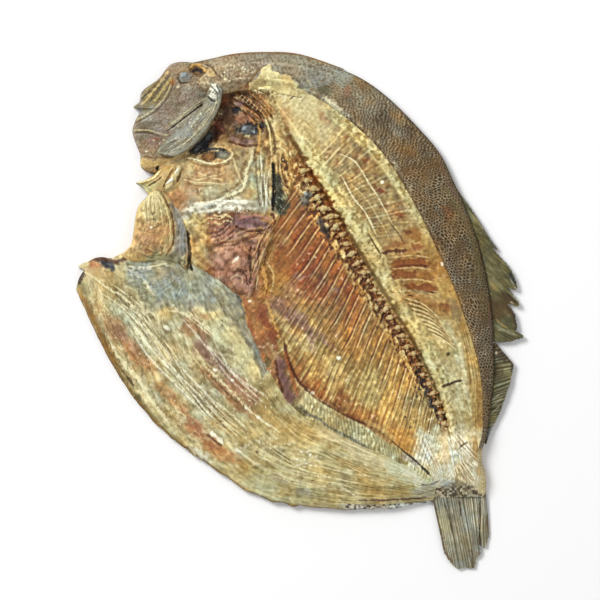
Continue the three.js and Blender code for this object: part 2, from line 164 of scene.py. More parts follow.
BACK_TIP = Rail(
    68.5, 77, 77.5, 63, 86.8, 49.2, 90.6, 43, 94, 37.5, 99, 30.4, 94.2, 35.4, 99.7, 27.3, 106.2, 19.8,
    109, 10.2, 103, 12.1, 106.2, 8.6, 110.4, 2, 104, 3.4, 107.6, -1.8, 109, -8.6, 108, -10.9, 112, -13.2,
    103.3, -15.8, 98, -15.2,
)
REAR_FOOT = Rail(
    96.6, -17, 96.7, -23, 96.6, -28.5, 96.3, -34, 95.8, -40, 95.2, -45.5, 94.6, -51, 94, -56, 93.2, -61.5,
    92.4, -66,
)
REAR_TIP = Rail(
    98, -15.6, 102.7, -21.4, 107, -26.7, 106.4, -31.3, 105.3, -36.5, 103, -43, 100.6, -50, 98, -55.4,
    95.6, -60.2, 93.3, -66.9,
)
TAIL_FOOT = Rail(66.2, -92.6, 69.5, -90.5, 74, -90, 79, -90, 84, -90, 88.5, -90, 91, -87, 92.2, -82.5)
TAIL_TIP = Rail(
    72.6, -121.8, 75, -126, 79, -129.4, 83.2, -129.2, 87.4, -129.4, 88, -124.8, 90.4, -121.8, 90.2, -117,
    93, -118.8, 94.6, -112,
)
HEAD_RIM = Rail(
    -64.5, 123.5, -70.8, 116.2, -78.8, 110.2, -80.3, 105, -83.4, 101.9, -79.6, 100.8, -82.3, 95.5,
    -83.9, 90, -82.3, 84, -80, 78, -79.3, 71.6, -73.2, 68.6, -69, 71, -61, 74.5, -52, 82.5, -45.5, 90.5,
    -42, 98.5, -41, 106, -42, 113.5, -47, 121, -55, 124.5, closed=True,
)
PLATE_RIM = Rail(
    -71, 79, -67.5, 84.5, -61, 90, -53.5, 97, -46.5, 104.5, -44.8, 110, -44, 114, -41.5, 113.2,
    -38.8, 110.3, -39.8, 103, -43.3, 95.5, -48.8, 87.5, -55.5, 80.5, -63, 77.3, closed=True,
)
THROAT_RIM = Rail(
    -72, 63.5, -76, 58, -81.2, 51.5, -83.2, 41, -84.5, 33.5, -89, 27.8, -84, 24.5, -74, 25, -64, 25,
    -56, 20.5, -54.6, 30, -55.5, 39.5, -58, 47.5, -63, 55.5, -68.5, 61, closed=True,
)
JAW_RIM = Rail(
    -82, 64, -77.5, 65.6, -73, 68.2, -68.5, 72.5, -62, 74.5, -57.5, 70, -59, 62, -65, 58.5, -71.5, 57.8,
    -75.8, 58.3, -78.5, 61.5, closed=True,
)


# Tones and noise


class Tone(Enum):
    """Colours of the dried fish, as they look in plain daylight."""

    WHITE = (238, 235, 218)
    PALE = (220, 211, 174)
    MINT = (208, 211, 178)
    BUTTER = (230, 218, 164)
    CREAM = (214, 199, 150)
    LINEN = (196, 184, 132)
    BONE = (196, 180, 138)
    STRAW = (202, 172, 112)
    GOLD = (186, 144, 76)
    TAN = (176, 144, 98)
    AMBER = (160, 108, 50)
    HONEY = (166, 122, 62)
    SEPIA = (118, 84, 50)
    KHAKI = (186, 160, 96)
    FAWN = (188, 172, 124)
    LICHEN = (168, 166, 130)
    BRICK = (150, 86, 50)
    UMBER = (78, 44, 22)
    OCHRE = (140, 98, 44)
    RUST = (138, 74, 34)
    RED = (126, 60, 36)
    MAROON = (88, 38, 24)
    SALMON = (184, 124, 80)
    PINK = (190, 142, 118)
    MAUVE = (138, 104, 94)
    PLUM = (104, 72, 68)
    VIOLET = (124, 96, 108)
    ROSE = (168, 114, 96)
    LILAC = (160, 156, 150)
    BLUE = (142, 152, 158)
    SLATE = (104, 108, 110)
    GREY = (150, 146, 128)
    ASH = (176, 174, 156)
    DRAB = (122, 106, 84)
    OLIVE = (124, 112, 68)
    MOSS = (84, 78, 46)
    BARK = (84, 62, 38)
    SHADE = (58, 42, 28)
    PINE = (54, 58, 46)
    INK = (34, 36, 44)

    @property
    def rgb(self) -> Field:
        """The colour as three numbers from 0 to 1."""
        return np.array(self.value, float) / 255


(
    WHITE, PALE, MINT, BUTTER, CREAM, LINEN, BONE, STRAW, GOLD, TAN, AMBER, HONEY, SEPIA, KHAKI, FAWN,
    LICHEN, BRICK, UMBER, OCHRE, RUST, RED, MAROON, SALMON, PINK, MAUVE, PLUM, VIOLET, ROSE, LILAC,
    BLUE, SLATE, GREY, ASH, DRAB, OLIVE, MOSS, BARK, SHADE, PINE, INK,
) = Tone


class Grain:
    """Smooth noise over a plane, the same on every run."""

    SIZE = 256

    def __init__(self, seed: int) -> None:
        """Fills the lattice from a seed."""
        self.lattice = np.random.default_rng(seed).random((self.SIZE, self.SIZE))

    def soft(self, x: Field, y: Field) -> Field:
        """One octave of noise from 0 to 1, with a lattice step of 1."""
        column, row = np.floor(x).astype(int), np.floor(y).astype(int)
        s, t = x - column, y - row
        s, t = s * s * (3 - 2 * s), t * t * (3 - 2 * t)
        column, row = column % self.SIZE, row % self.SIZE
        right, up = (column + 1) % self.SIZE, (row + 1) % self.SIZE
        grid = self.lattice
        return mix(mix(grid[column, row], grid[right, row], s), mix(grid[column, up], grid[right, up], s), t)

    def rough(self, x: Field, y: Field, octaves: int = 3) -> Field:
        """Several octaves of noise, spread to about 0 to 1.

        Args:
            x: first coordinate, in lattice steps.
            y: second coordinate, in lattice steps.
            octaves: how many layers are added, each half as large.

        Returns:
            The noise at each place.
        """
        total, weight, share = np.zeros_like(x), 0.0, 1.0
        for octave in range(octaves):
            total += share * self.soft(x * 2**octave + 17.3 * octave, y * 2**octave + 5.7 * octave)
            weight, share = weight + share, share * 0.5
        return np.clip(0.5 + (total / weight - 0.5) * 1.6, 0, 1)

    def threads(self, along: Field, across: Field, length: float, width: float, sharp: float = 2.0) -> Field:
        """Long fine ridges.

        Args:
            along: millimetres in the direction of the threads.
            across: millimetres over them.
            length: how long a thread runs.
            width: how far apart the threads lie.
            sharp: how thin each one is.

        Returns:
            1 on a thread and 0 between.
        """
        sway = self.soft(along / length * 0.7, across / (width * 6)) * 2.5
        value = self.rough(along / length, across / width + sway, 2)
        return (1 - np.abs(2 * value - 1)) ** sharp


NOISE = Grain(11)
WOBBLE = Grain(23)
soft = NOISE.soft
rough = NOISE.rough
threads = NOISE.threads


def cloud(low: float, high: float, x: Field, y: Field, octaves: int = 3) -> Field:
    """Patches of noise, eased from 0 at low to 1 at high."""
    return smooth(low, high, rough(x, y, octaves))


# Marks of the brush


@dataclass(frozen=True)
class Spot:
    """A soft ragged patch of tone and relief."""

    tone: Tone
    x: float
    y: float
    long: float
    wide: float
    turn: float = 0.0
    strength: float = 0.8
    lift: float = 0.0
    ragged: float = 0.8

    def lay(self, sheet: "Sheet") -> None:
        """Adds the patch to a sheet."""
        reach = 2.2 * max(self.long, self.wide)
        near = np.flatnonzero((np.abs(sheet.x - self.x) < reach) & (np.abs(sheet.y - self.y) < reach))
        if not len(near):
            return
        x, y = sheet.x[near], sheet.y[near]
        c, s = math.cos(math.radians(self.turn)), math.sin(math.radians(self.turn))
        dx, dy = x - self.x, y - self.y
        far = np.hypot((dx * c + dy * s) / self.long, (dy * c - dx * s) / self.wide)
        grain = max(1.2, 0.45 * min(self.long, self.wide))
        far += self.ragged * (WOBBLE.rough(x / grain, y / grain) - 0.5)
        sheet.blend(near, self.strength * smooth(1.25, 0.55, far), self.tone, self.lift)


@dataclass(frozen=True)
class Stroke:
    """A line of tone and relief through a few places."""

    tone: Tone
    width: float
    path: Path
    strength: float = 0.8
    lift: float = 0.0
    ragged: float = 0.6
    taper: float = 0.15

    def lay(self, sheet: "Sheet") -> None:
        """Adds the line to a sheet."""
        steps = 8 * (len(self.path) // 2 - 1)
        line = Rail(*self.path).at(np.linspace(0, 1, steps + 1))
        low, high = line.min(0) - 2.5 * self.width, line.max(0) + 2.5 * self.width
        near = np.flatnonzero(
            (sheet.x > low[0]) & (sheet.x < high[0]) & (sheet.y > low[1]) & (sheet.y < high[1])
        )
        if not len(near):
            return
        x, y = sheet.x[near], sheet.y[near]
        best, where = np.full(len(near), 1e9), np.zeros(len(near))
        for k in range(len(line) - 1):
            a, b = line[k], line[k + 1]
            run = b - a
            t = np.clip(((x - a[0]) * run[0] + (y - a[1]) * run[1]) / max(run @ run, 1e-9), 0, 1)
            gap = np.hypot(x - a[0] - t * run[0], y - a[1] - t * run[1])
            closer = gap < best
            best = np.where(closer, gap, best)
            where = np.where(closer, (k + t) / (len(line) - 1), where)
        ends = smooth(-0.02, self.taper, where) * smooth(1.02, 1 - self.taper, where)
        grain = max(1.0, 0.8 * self.width)
        ragged = 1 + self.ragged * (WOBBLE.rough(x / grain, y / grain) - 0.5) * 1.6
        far = best / (0.5 * self.width * (0.35 + 0.65 * ends) * ragged)
        sheet.blend(near, self.strength * smooth(1.5, 0.5, far) * mix(0.5, 1, ends), self.tone, self.lift)


Marks = tuple[Spot | Stroke, ...]


def strands(
    tone: Tone, width: float, path: Path, count: int, gap: float, strength: float = 0.8, lift: float = 0.4
) -> tuple[Stroke, ...]:
    """Several strokes side by side, each a little out of line.

    Args:
        tone: their tone.
        width: the width of one.
        path: the middle line.
        count: how many there are.
        gap: how far apart they lie.
        strength: how much they cover.
        lift: how high they stand.

    Returns:
        The strokes.
    """
    line = np.reshape(np.array(path, float), (-1, 2))
    rng = np.random.default_rng(len(line) * 100 + count)
    run = line[-1] - line[0]
    side = np.array([-run[1], run[0]]) / np.hypot(*run)
    made = []
    for k in range(count):
        shift = (k - (count - 1) / 2) * gap + rng.normal(0, 0.35 * gap, len(line))
        first = int(rng.integers(0, 2)) if len(line) > 3 else 0
        points = (line + shift[:, None] * side)[first:]
        made.append(Stroke(tone, width, tuple(points.ravel()), strength, lift, FRAY))
    return tuple(made)


def flecks(
    tone: Tone, x: float, y: float, long: float, wide: float, count: int, size: float,
    lift: float = 0.2, turn: float = 0.0,
) -> tuple[Spot, ...]:
    """Small specks scattered inside a turned ellipse.

    Args:
        tone: their tone.
        x: the middle of the ellipse.
        y: the middle of the ellipse.
        long: half its length.
        wide: half its width.
        count: how many there are.
        size: about half the length of one.
        lift: how high they stand.
        turn: the ellipse's turn in degrees.

    Returns:
        The specks.
    """
    rng = np.random.default_rng(count + int(100 * abs(x)))
    c, s = math.cos(math.radians(turn)), math.sin(math.radians(turn))
    made = []
    for _ in range(count):
        far, way = math.sqrt(rng.random()), rng.uniform(0, 2 * math.pi)
        a, b = long * far * math.cos(way), wide * far * math.sin(way)
        half = size * rng.uniform(0.6, 1.5)
        place = (x + a * c - b * s, y + a * s + b * c)
        made.append(Spot(tone, *place, half, 0.6 * half, rng.uniform(0, 180), 0.75, lift))
    return tuple(made)


@dataclass
class Sheet:
    """The points of one grid in plan, with their height, paint and grain direction."""

    x: Field
    y: Field
    z: Field
    along: Field
    across: Field
    tone: Field = field(init=False)

    def __post_init__(self) -> None:
        """Starts the paint as plain cream."""
        self.tone = np.tile(CREAM.rgb, (len(self.x), 1))

    def wash(self, share: Field, tone: Tone, lift: float = 0.0) -> None:
        """Blends a tone, and adds a height, over the whole sheet."""
        self.blend(slice(None), share, tone, lift)

    def blend(self, where: Any, share: Field, tone: Tone, lift: float) -> None:
        """Blends a tone over part of the sheet.

        Args:
            where: the indices of the points that change.
            share: how much each of them changes, from 0 to 1.
            tone: the new colour.
            lift: the height that a full share adds, in millimetres.
        """
        share = np.clip(share, 0, 1) * np.ones(len(self.tone[where]))
        self.tone[where] += (tone.rgb - self.tone[where]) * share[:, None]
        self.z[where] += lift * share

    def shade(self, amount: Field) -> None:
        """Makes the paint lighter and paler where amount is above 0, darker and warmer below."""
        amount = amount * np.ones(len(self.x))
        warmth = np.outer(np.minimum(amount, 0), (0, 0.05, 0.25))
        self.tone *= np.exp(np.outer(amount, (0.9, 1.0, 1.1)) + warmth)

    def paint_hollow_shade(self, columns: int, size: float, depth: float, amount: float) -> None:
        """Paints shade into the low places of the relief and a painted highlight on its crests.

        Args:
            columns: faces over the grid.
            size: the blur in millimetres that the relief is measured from.
            depth: the relief, in millimetres, that has the full effect.
            amount: how strong the full effect is.
        """
        shape = (-1, columns + 1)
        x, y, z = self.x.reshape(shape), self.y.reshape(shape), self.z.reshape(shape)
        base = z
        for axis in (0, 1):
            step = np.median(np.hypot(np.diff(x, axis=axis), np.diff(y, axis=axis)))
            reach = max(1, min(int(size / max(step, 1e-6)), base.shape[axis] // 3))
            wide = np.pad(base, [(reach, reach) if k == axis else (0, 0) for k in (0, 1)], mode="edge")
            total = np.cumsum(wide, axis=axis)
            total = np.insert(total, 0, 0, axis=axis)
            span = 2 * reach + 1
            upper = total[span:] if axis == 0 else total[:, span:]
            lower = total[:-span] if axis == 0 else total[:, :-span]
            base = (upper - lower) / span
        # darkened below the blurred relief as painted shade, lightened above it as painted highlight
        self.shade(amount * np.clip((z - base).ravel() / depth, -1, 0.55))

    def mottle(self, size: float, amount: float, warm: float = 0.0) -> None:
        """Uneven lightness, and a drift between warm and cool.

        Args:
            size: millimetres across a patch.
            amount: how strong the lightness varies.
            warm: how strong the colour varies.
        """
        self.shade(amount * (rough(self.x / size, self.y / size, 4) - 0.5) * 2)
        drift = warm * (rough(self.y / size + 31, self.x / size + 7, 3) - 0.5) * 2
        self.tone *= np.exp(np.outer(drift, (0.5, 0.0, -0.7)))

    def fleck(self, amount: Any) -> None:
        """Scatters small pale flecks, partly salt and partly painted glints, and dark pits with painted shade
        in them over the paint, and roughens it finely.
        """
        grit = rough(self.x / 1.5 + 90, self.y / 1.5 + 40, 3)
        # grit sets both lightness and height: painted shade in the pits, painted highlight on the grains
        self.shade(amount * (grit - 0.5))
        self.z += 0.5 * amount * (grit - 0.5)
        patches = rough(self.x / 9 + 3, self.y / 9 + 70, 2)
        # white specks: partly salt, partly painted glints
        self.wash(smooth(0.9, 0.98, grit) * smooth(0.5, 0.7, patches) * np.minimum(1, 2 * amount), WHITE, 0.1)

    def lay(self, marks: Marks) -> None:
        """Adds the marks in their order."""
        for mark in marks:
            mark.lay(self)


# Finishes


class Wire:
    """One socket of a material, which Python sums turn into Math nodes."""

    def __init__(self, shade: "Shade", socket: Any) -> None:
        """Keeps the socket and the material that it is in."""
        self.shade = shade
        self.socket = socket

    def _sum(self, operation: str, first: Any, second: Any) -> "Wire":
        """Adds one Math node."""
        return self.shade.node("ShaderNodeMath", {"operation": operation}, {0: first, 1: second})

    def __add__(self, other: Any) -> "Wire":
        """Sum."""
        return self._sum("ADD", self, other)

    def __sub__(self, other: Any) -> "Wire":
        """Difference."""
        return self._sum("SUBTRACT", self, other)

    def __rsub__(self, other: Any) -> "Wire":
        """Difference from a number."""
        return self._sum("SUBTRACT", other, self)

    def __mul__(self, other: Any) -> "Wire":
        """Product."""
        return self._sum("MULTIPLY", self, other)

    def __pow__(self, other: Any) -> "Wire":
        """Power."""
        return self._sum("POWER", self, other)

    __radd__ = __add__
    __rmul__ = __mul__


class Shade:
    """A material while its nodes are joined."""

    def __init__(self, name: str) -> None:
        """Starts a material with one surface shader."""
        self.material = bpy.data.materials.new(name)
        self.material.use_nodes = True
        self.tree = self.material.node_tree
        self.surface = self.tree.nodes["Principled BSDF"]

    def node(self, kind: str, settings: Options = None, inputs: Options = None, out: Any = 0) -> Wire:
        """Adds a node.

        Args:
            kind: the node's type.
            settings: its settings, which are set first.
            inputs: values or wires for its sockets.
            out: which output to return.

        Returns:
            The wire from that output.
        """
        made = self.tree.nodes.new(kind)
        for name, value in (settings or {}).items():
            setattr(made, name, value)
        for name, value in (inputs or {}).items():
            self.join(made.inputs[name], value)
        return Wire(self, made.outputs[out])

    def join(self, socket: Any, value: Any) -> None:
        """Sets a socket to a number, or joins a wire to it."""
        if isinstance(value, Wire):
            self.tree.links.new(value.socket, socket)
        else:
            socket.default_value = value

    def tinted(self, share: Any, first: Any, second: Any, way: str = "MIX") -> Wire:
        """Mixes two colours by a share."""
        settings = {"data_type": "RGBA", "blend_type": way}
        return self.node("ShaderNodeMix", settings, {0: share, 6: first, 7: second}, out=2)

    def noise(self, place: Wire, scale: float, detail: float = 3.0, stretch: Triple = (1, 1, 1)) -> Wire:
        """Noise over a place, with a lattice step of 1 / scale metres and a stretch of its own."""
        turned = self.node("ShaderNodeMapping", {}, {"Vector": place, "Scale": stretch})
        return self.node("ShaderNodeTexNoise", {}, {"Vector": turned, "Scale": scale, "Detail": detail})


@dataclass(frozen=True)
class Finish:
    """The painted surface of one kind of tissue."""

    name: str
    fibre: tuple[float, float] = (5.0, 0.8)
    pores: float = 0.9
    vary: float = 0.42
    depth: float = 0.3
    rough: float = 0.5
    gloss: float = 0.28
    blue: float = 0.93

    def make(self) -> Any:
        """Builds the material, which reads the paint and the grain direction of a piece.

        Returns:
            The material.
        """
        shade = Shade(self.name)
        paint = shade.node("ShaderNodeAttribute", {"attribute_name": "paint"}, out="Color")
        lay = shade.node("ShaderNodeAttribute", {"attribute_name": "lay"}, out="Vector")
        place = shade.node("ShaderNodeTexCoord", out="Object")
        length, width = self.fibre
        fibre = shade.noise(lay, 1.0, 4, (1 / (length * MM), 1 / (width * MM), 1))
        pores = shade.noise(place, 1 / (self.pores * MM), 3)
        # lightness of the fine grain, lighter where the bump stands higher: partly the tissue's own grain,
        # partly painted shade and highlight on the fine relief
        light = (fibre * 0.55 + pores * 0.45 - 0.5) * (2 * self.vary) + 1
        tint = {0: light, 1: light**1.08, 2: light**1.25 * self.blue}
        ground = shade.node("ShaderNodeCombineColor", {}, tint)
        colour = shade.tinted(1.0, paint, ground, "MULTIPLY")
        height = fibre * 0.6 + pores * 0.5
        bump = shade.node(
            "ShaderNodeBump", {}, {"Strength": 0.7, "Distance": self.depth * MM, "Height": height}
        )
        shade.join(shade.surface.inputs["Base Color"], colour)
        shade.join(shade.surface.inputs["Roughness"], (pores - 0.5) * 0.5 + self.rough)
        shade.join(shade.surface.inputs["Normal"], bump)
        shade.surface.inputs["Specular IOR Level"].default_value = self.gloss
        return shade.material


@dataclass(frozen=True)
class BlindSide:
    """The pale scaly skin of the side that the fish lies on."""

    scale: float = 1.8
    light: Triple = (0.62, 0.57, 0.44)
    dark: Triple = (0.40, 0.35, 0.24)

    def make(self) -> Any:
        """Builds the material from Object coordinates.

        Returns:
            The material.
        """
        shade = Shade("blind_side_skin")
        place = shade.node("ShaderNodeTexCoord", out="Object")
        size = 1 / (self.scale * MM)
        cells = shade.node("ShaderNodeTexVoronoi", {"feature": "SMOOTH_F1"}, {"Vector": place, "Scale": size})
        blotch = shade.noise(place, 60, 4)
        tone = shade.tinted(blotch, (*self.dark, 1), (*self.light, 1))
        colour = shade.tinted(cells * 0.35, tone, (*self.dark, 1))
        bump = shade.node("ShaderNodeBump", {}, {"Strength": 0.6, "Distance": 0.3 * MM, "Height": 1 - cells})
        shade.join(shade.surface.inputs["Base Color"], colour)
        shade.join(shade.surface.inputs["Normal"], bump)
        shade.join(shade.surface.inputs["Roughness"], blotch * 0.2 + 0.45)
        shade.surface.inputs["Specular IOR Level"].default_value = 0.3
        return shade.material


# Making the meshes


def linear(colour: Field) -> Field:
    """Turns display colours into the linear ones that a surface needs."""
    colour = np.clip(colour, 0, 1)
    return np.where(colour <= 0.04045, colour / 12.92, ((colour + 0.055) / 1.055) ** 2.4)


def grid_piece(name: str, columns: int, rows: int) -> tuple[Any, Field, Field]:
    """Adds a flat grid primitive.

    Args:
        name: the piece's name.
        columns: faces over it.
        rows: faces along it.

    Returns:
        The object, and each vertex's share over and along the grid.
    """
    bpy.ops.object.select_all(action="DESELECT")
    bpy.ops.mesh.primitive_grid_add(x_subdivisions=columns, y_subdivisions=rows, size=2)
    piece = bpy.context.object
    piece.name = piece.data.name = name
    place = np.empty(len(piece.data.vertices) * 3)
    piece.data.vertices.foreach_get("co", place)
    place = place.reshape(-1, 3)
    return piece, (place[:, 0] + 1) / 2, (place[:, 1] + 1) / 2


def shape_piece(piece: Any, sheet: Sheet) -> None:
    """Moves a grid's vertices to a sheet's places and gives them its paint and grain direction."""
    mesh = piece.data
    mesh.vertices.foreach_set("co", (np.stack([sheet.x, sheet.y, sheet.z], 1) * MM).ravel())
    paint = mesh.color_attributes.new(name="paint", type="FLOAT_COLOR", domain="POINT")
    colour = linear(sheet.tone * PAINT_STRENGTH)
    paint.data.foreach_set("color", np.column_stack([colour, np.ones(len(colour))]).ravel())
    lay = mesh.attributes.new(name="lay", type="FLOAT_VECTOR", domain="POINT")
    lay.data.foreach_set("vector", (np.stack([sheet.along, sheet.across, sheet.z * 0], 1) * MM).ravel())
    mesh.update()


def close_piece(piece: Any, foot: float, merge: bool = False) -> None:
    """Extrudes the rim of a piece down to a flat foot and fills it.

    Args:
        piece: the open sheet.
        foot: the foot's height in millimetres.
        merge: whether the grid's ends meet, as on a dome.
    """
    bpy.ops.object.mode_set(mode="EDIT")
    bpy.ops.mesh.select_mode(type="VERT")
    bpy.ops.mesh.select_all(action="SELECT")
    if merge:
        bpy.ops.mesh.remove_doubles(threshold=WELD)
    bpy.ops.mesh.select_all(action="DESELECT")
    bpy.ops.mesh.select_non_manifold(
        extend=False, use_wire=False, use_multi_face=False, use_non_contiguous=False, use_verts=False
    )
    bpy.ops.mesh.extrude_region_move(TRANSFORM_OT_translate={"value": (0, 0, -0.01 * MM)})
    bpy.ops.transform.resize(value=(1, 1, 0), center_override=(0, 0, foot * MM))
    bpy.ops.mesh.edge_face_add()
    piece.active_material_index = 1
    bpy.ops.object.material_slot_assign()
    bpy.ops.mesh.select_all(action="SELECT")
    bpy.ops.mesh.normals_make_consistent(inside=False)
    bpy.ops.object.mode_set(mode="OBJECT")


def fit(piece: Any) -> None:
    """Gives a piece smooth shading, its body and the node that it stands for."""
    bpy.ops.object.select_all(action="DESELECT")
    piece.select_set(True)
    bpy.context.view_layer.objects.active = piece
    bpy.ops.object.shade_smooth_by_angle(angle=math.radians(CREASE))
    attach(piece, BODY)
    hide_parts(NODE)
    log.info("%s: %d faces", piece.name, len(piece.data.polygons))


@dataclass
class Form:
    """One form of the fish: a grid that is laid out, raised, painted and closed below."""

    name: ClassVar[str] = "form"
    marks: ClassVar[Marks] = ()
    merge: ClassVar[bool] = False
    relief: ClassVar[Triple] = (1.6, 0.35, 0.35)  # blur, depth and strength of the painted shade in low places and painted highlight on crests
    columns: int = 100
    rows: int = 300
    foot: float = 0.2

    def plan(self, over: Field, along: Field) -> Sheet:
        """Lays the grid out and raises it.

        Args:
            over: share over the grid.
            along: share along the grid.

        Returns:
            The sheet.
        """
        raise NotImplementedError

    def paint(self, sheet: Sheet, over: Field, along: Field) -> None:
        """Paints the sheet before its marks."""

    def build(self, top: Any, under: Any) -> None:
        """Makes the piece and dresses it."""
        piece, over, along = grid_piece(self.name, self.columns, self.rows)
        sheet = self.plan(over, along)
        self.paint(sheet, over, along)
        sheet.lay(self.marks)
        # painted shade in the low places of the relief and painted highlight on its crests
        sheet.paint_hollow_shade(self.columns, *self.relief)
        shape_piece(piece, sheet)
        piece.data.materials.append(top)
        piece.data.materials.append(under)
        close_piece(piece, self.foot, self.merge)
        fit(piece)


def fullness(along: Field) -> Field:
    """How full the trunk's flesh is: thin at the nape and at the tail."""
    full = mix(0.45, 1, smooth(0.02, 0.2, along)) * mix(1, 0.78, smooth(0.7, 0.94, along))
    return full * mix(1, 0.5, smooth(0.94, 1, along))


TAIL_MARKS = (
    Spot(WHITE, 73, -67.5, 4.5, 7, 10, 0.75, 0.4), Spot(GOLD, 51, -64.5, 8, 5, -40, 0.6),
    Stroke(AMBER, 1.4, (54, -58, 57, -64, 58.5, -70), 0.5, 0, 1.2), Spot(MINT, 69, -66, 3, 8, 5, 0.6),
    Spot(PALE, 71.5, -60, 4, 8, 12, 0.65, 0, 1.2),
    *strands(WHITE, 0.7, (75.5, -62, 81.5, -69, 88.5, -76.5), 5, 1.5, 0.7),
    *strands(TAN, 0.5, (76.5, -63.5, 82, -70, 88, -77), 4, 1.7, 0.5, -0.2),
    *strands(WHITE, 0.6, (79, -76, 82.5, -81, 86, -86.5), 5, 1.3, 0.7),
    *strands(TAN, 0.4, (80, -76, 83, -81, 86.5, -86), 3, 1.6, 0.6, -0.2),
    *strands(TAN, 0.5, (60, -64, 64, -72, 67.5, -80), 4, 1.8, 0.5, -0.2),
    *strands(WHITE, 0.8, (72, -70, 73.5, -77, 75, -84), 4, 2.1, 0.6),
    Stroke(BARK, 0.8, (79.9, -67.9, 82, -66.6, 83.9, -65.7), 0.8, -0.3),
    Stroke(GOLD, 2.6, (86.6, -62, 87.6, -68, 88.2, -75), 0.55),
    Stroke(OCHRE, 0.9, (88, -64, 88.8, -70, 89.2, -76), 0.45, -0.2), Spot(GOLD, 89.6, -80, 1.8, 3, 0, 0.5),
    # the white spot at (87.6, -76.8): painted highlight
    Spot(WHITE, 87.6, -76.8, 1.6, 1, -40, 0.9, 0.3), Spot(ASH, 70.5, -86.3, 8, 2.6, 5, 0.85, 0.4),
    Spot(LILAC, 74.5, -86.5, 4, 1.8, 0, 0.6, 0.2),
    Stroke(GREY, 7, (69, -92, 75, -90.2, 81, -88.8, 86, -90.5, 91, -92.5), 0.85, 0, 1.2),
)
SHOULDER_MARKS = (
    Spot(CREAM, -3, 95, 11, 14, -20, 0.7, 0.3, 1.2), Spot(BUTTER, -3, 104, 7, 6, 0, 0.6, 0.2, 1.2),
    Spot(STRAW, -11, 84, 5, 8, 10, 0.5, 0, 1.2), Spot(BUTTER, 1, 88, 5, 6, 20, 0.5, 0.2, 1.2),
    Spot(HONEY, -6, 91, 3, 2, 0, 0.4, -0.2), Spot(RUST, -5.5, 87, 1.6, 1, 30, 0.5, -0.3),
    Spot(BUTTER, -10, 110.5, 8, 5, -20, 0.85, 0.2, 1.2), Spot(GOLD, -17, 101, 3, 6, 10, 0.35, 0, 1.2),
)
HEEL_MARKS = (
    Stroke(MINT, 9.5, (43, -76, 52, -79.5, 59, -82, 66, -86.5), 0.95, 0.3),
    Spot(WHITE, 56, -82.5, 8, 2.8, -40, 0.6, 0.3),
    *strands(KHAKI, 0.5, (40, -80, 48, -82.5, 58, -84.5), 3, 1.4, 0.4, -0.1),
    Stroke(LILAC, 3, (50.5, -72, 55, -74, 60, -77), 0.85),
    Stroke(OLIVE, 2, (47.5, -73.8, 50.5, -75, 54, -76.3)),
    Stroke(SHADE, 0.9, (51, -69.8, 54.5, -72.2, 58, -75.2, 62, -78.8, 65.6, -82.8), 0.9, -0.4),
    Stroke(INK, 0.9, (60, -77.5, 62.3, -79.6, 64.4, -81.8), 0.6, -0.2),
    Stroke(ASH, 6, (57, -90.5, 63, -89.3, 70, -86.5), 0.85, 0.3, 1),
    Stroke(SLATE, 0.8, (60, -86.8, 65, -87, 69.5, -85), 0.6, -0.3),
    Stroke(OLIVE, 0.8, (58, -92, 64, -90.5, 70, -89), 0.5, -0.2),
)


def waist(place: Field) -> Field:
    """Draws the trunk's edge in before the tail."""
    place[:, 0] -= WAIST * bell(place[:, 1] - TAIL_Y, 7.5) * smooth(76, 91, place[:, 0])
    return place


def dress_tail(sheet: Sheet) -> None:
    """Pale fibres that draw together over the root of the tail, and its crumpled dark scales."""
    wash = sheet.wash
    x, y = sheet.x, sheet.y
    dx, dy = x - FAN[0], y - FAN[1]
    turn, far = np.arctan2(dx, dy) * 60, np.hypot(dx, dy)
    grit = rough(x / 1.3, y / 1.1, 3)
    bare = smooth(-56, -65, y - 0.12 * (x - 76) + 9 * (rough(turn / 3, far / 12) - 0.5))
    bare *= smooth(56, 60, x + 3 * (rough(x / 3, y / 8) - 0.5) - np.minimum(y + 72, 0))
    wash(bare, PALE)
    wash(bare * rough(turn / 4 + 8, far / 14) * 0.6, MINT)
    wash(bare * threads(far, turn, 26, 3.4, 1.0) * 0.8, WHITE, 0.12)
    wash(bare * threads(far + 30, turn + 9, 26, 2.4, 4) * 0.45, KHAKI, -0.08)
    wash(bare * threads(far + 60, turn + 5, 24, 1.8, 6) * 0.4, WHITE, 0.06)
    sheet.along = mix(sheet.along, far - 60, bare)
    sheet.across = mix(sheet.across, turn + 195, bare)
    sheet.lay(TAIL_MARKS)
    sheet.lay(HEEL_MARKS)
    end = smooth(-86.0, -88.5, y + 0.035 * (x - 80) ** 2 * smooth(60, 80, x) + 4 * (grit - 0.5))
    wash(end * smooth(0.55, 0.3, grit) * 0.65, SHADE, -0.3)
    wash(end * smooth(0.55, 0.8, grit) * 0.6, ASH, 0.25)


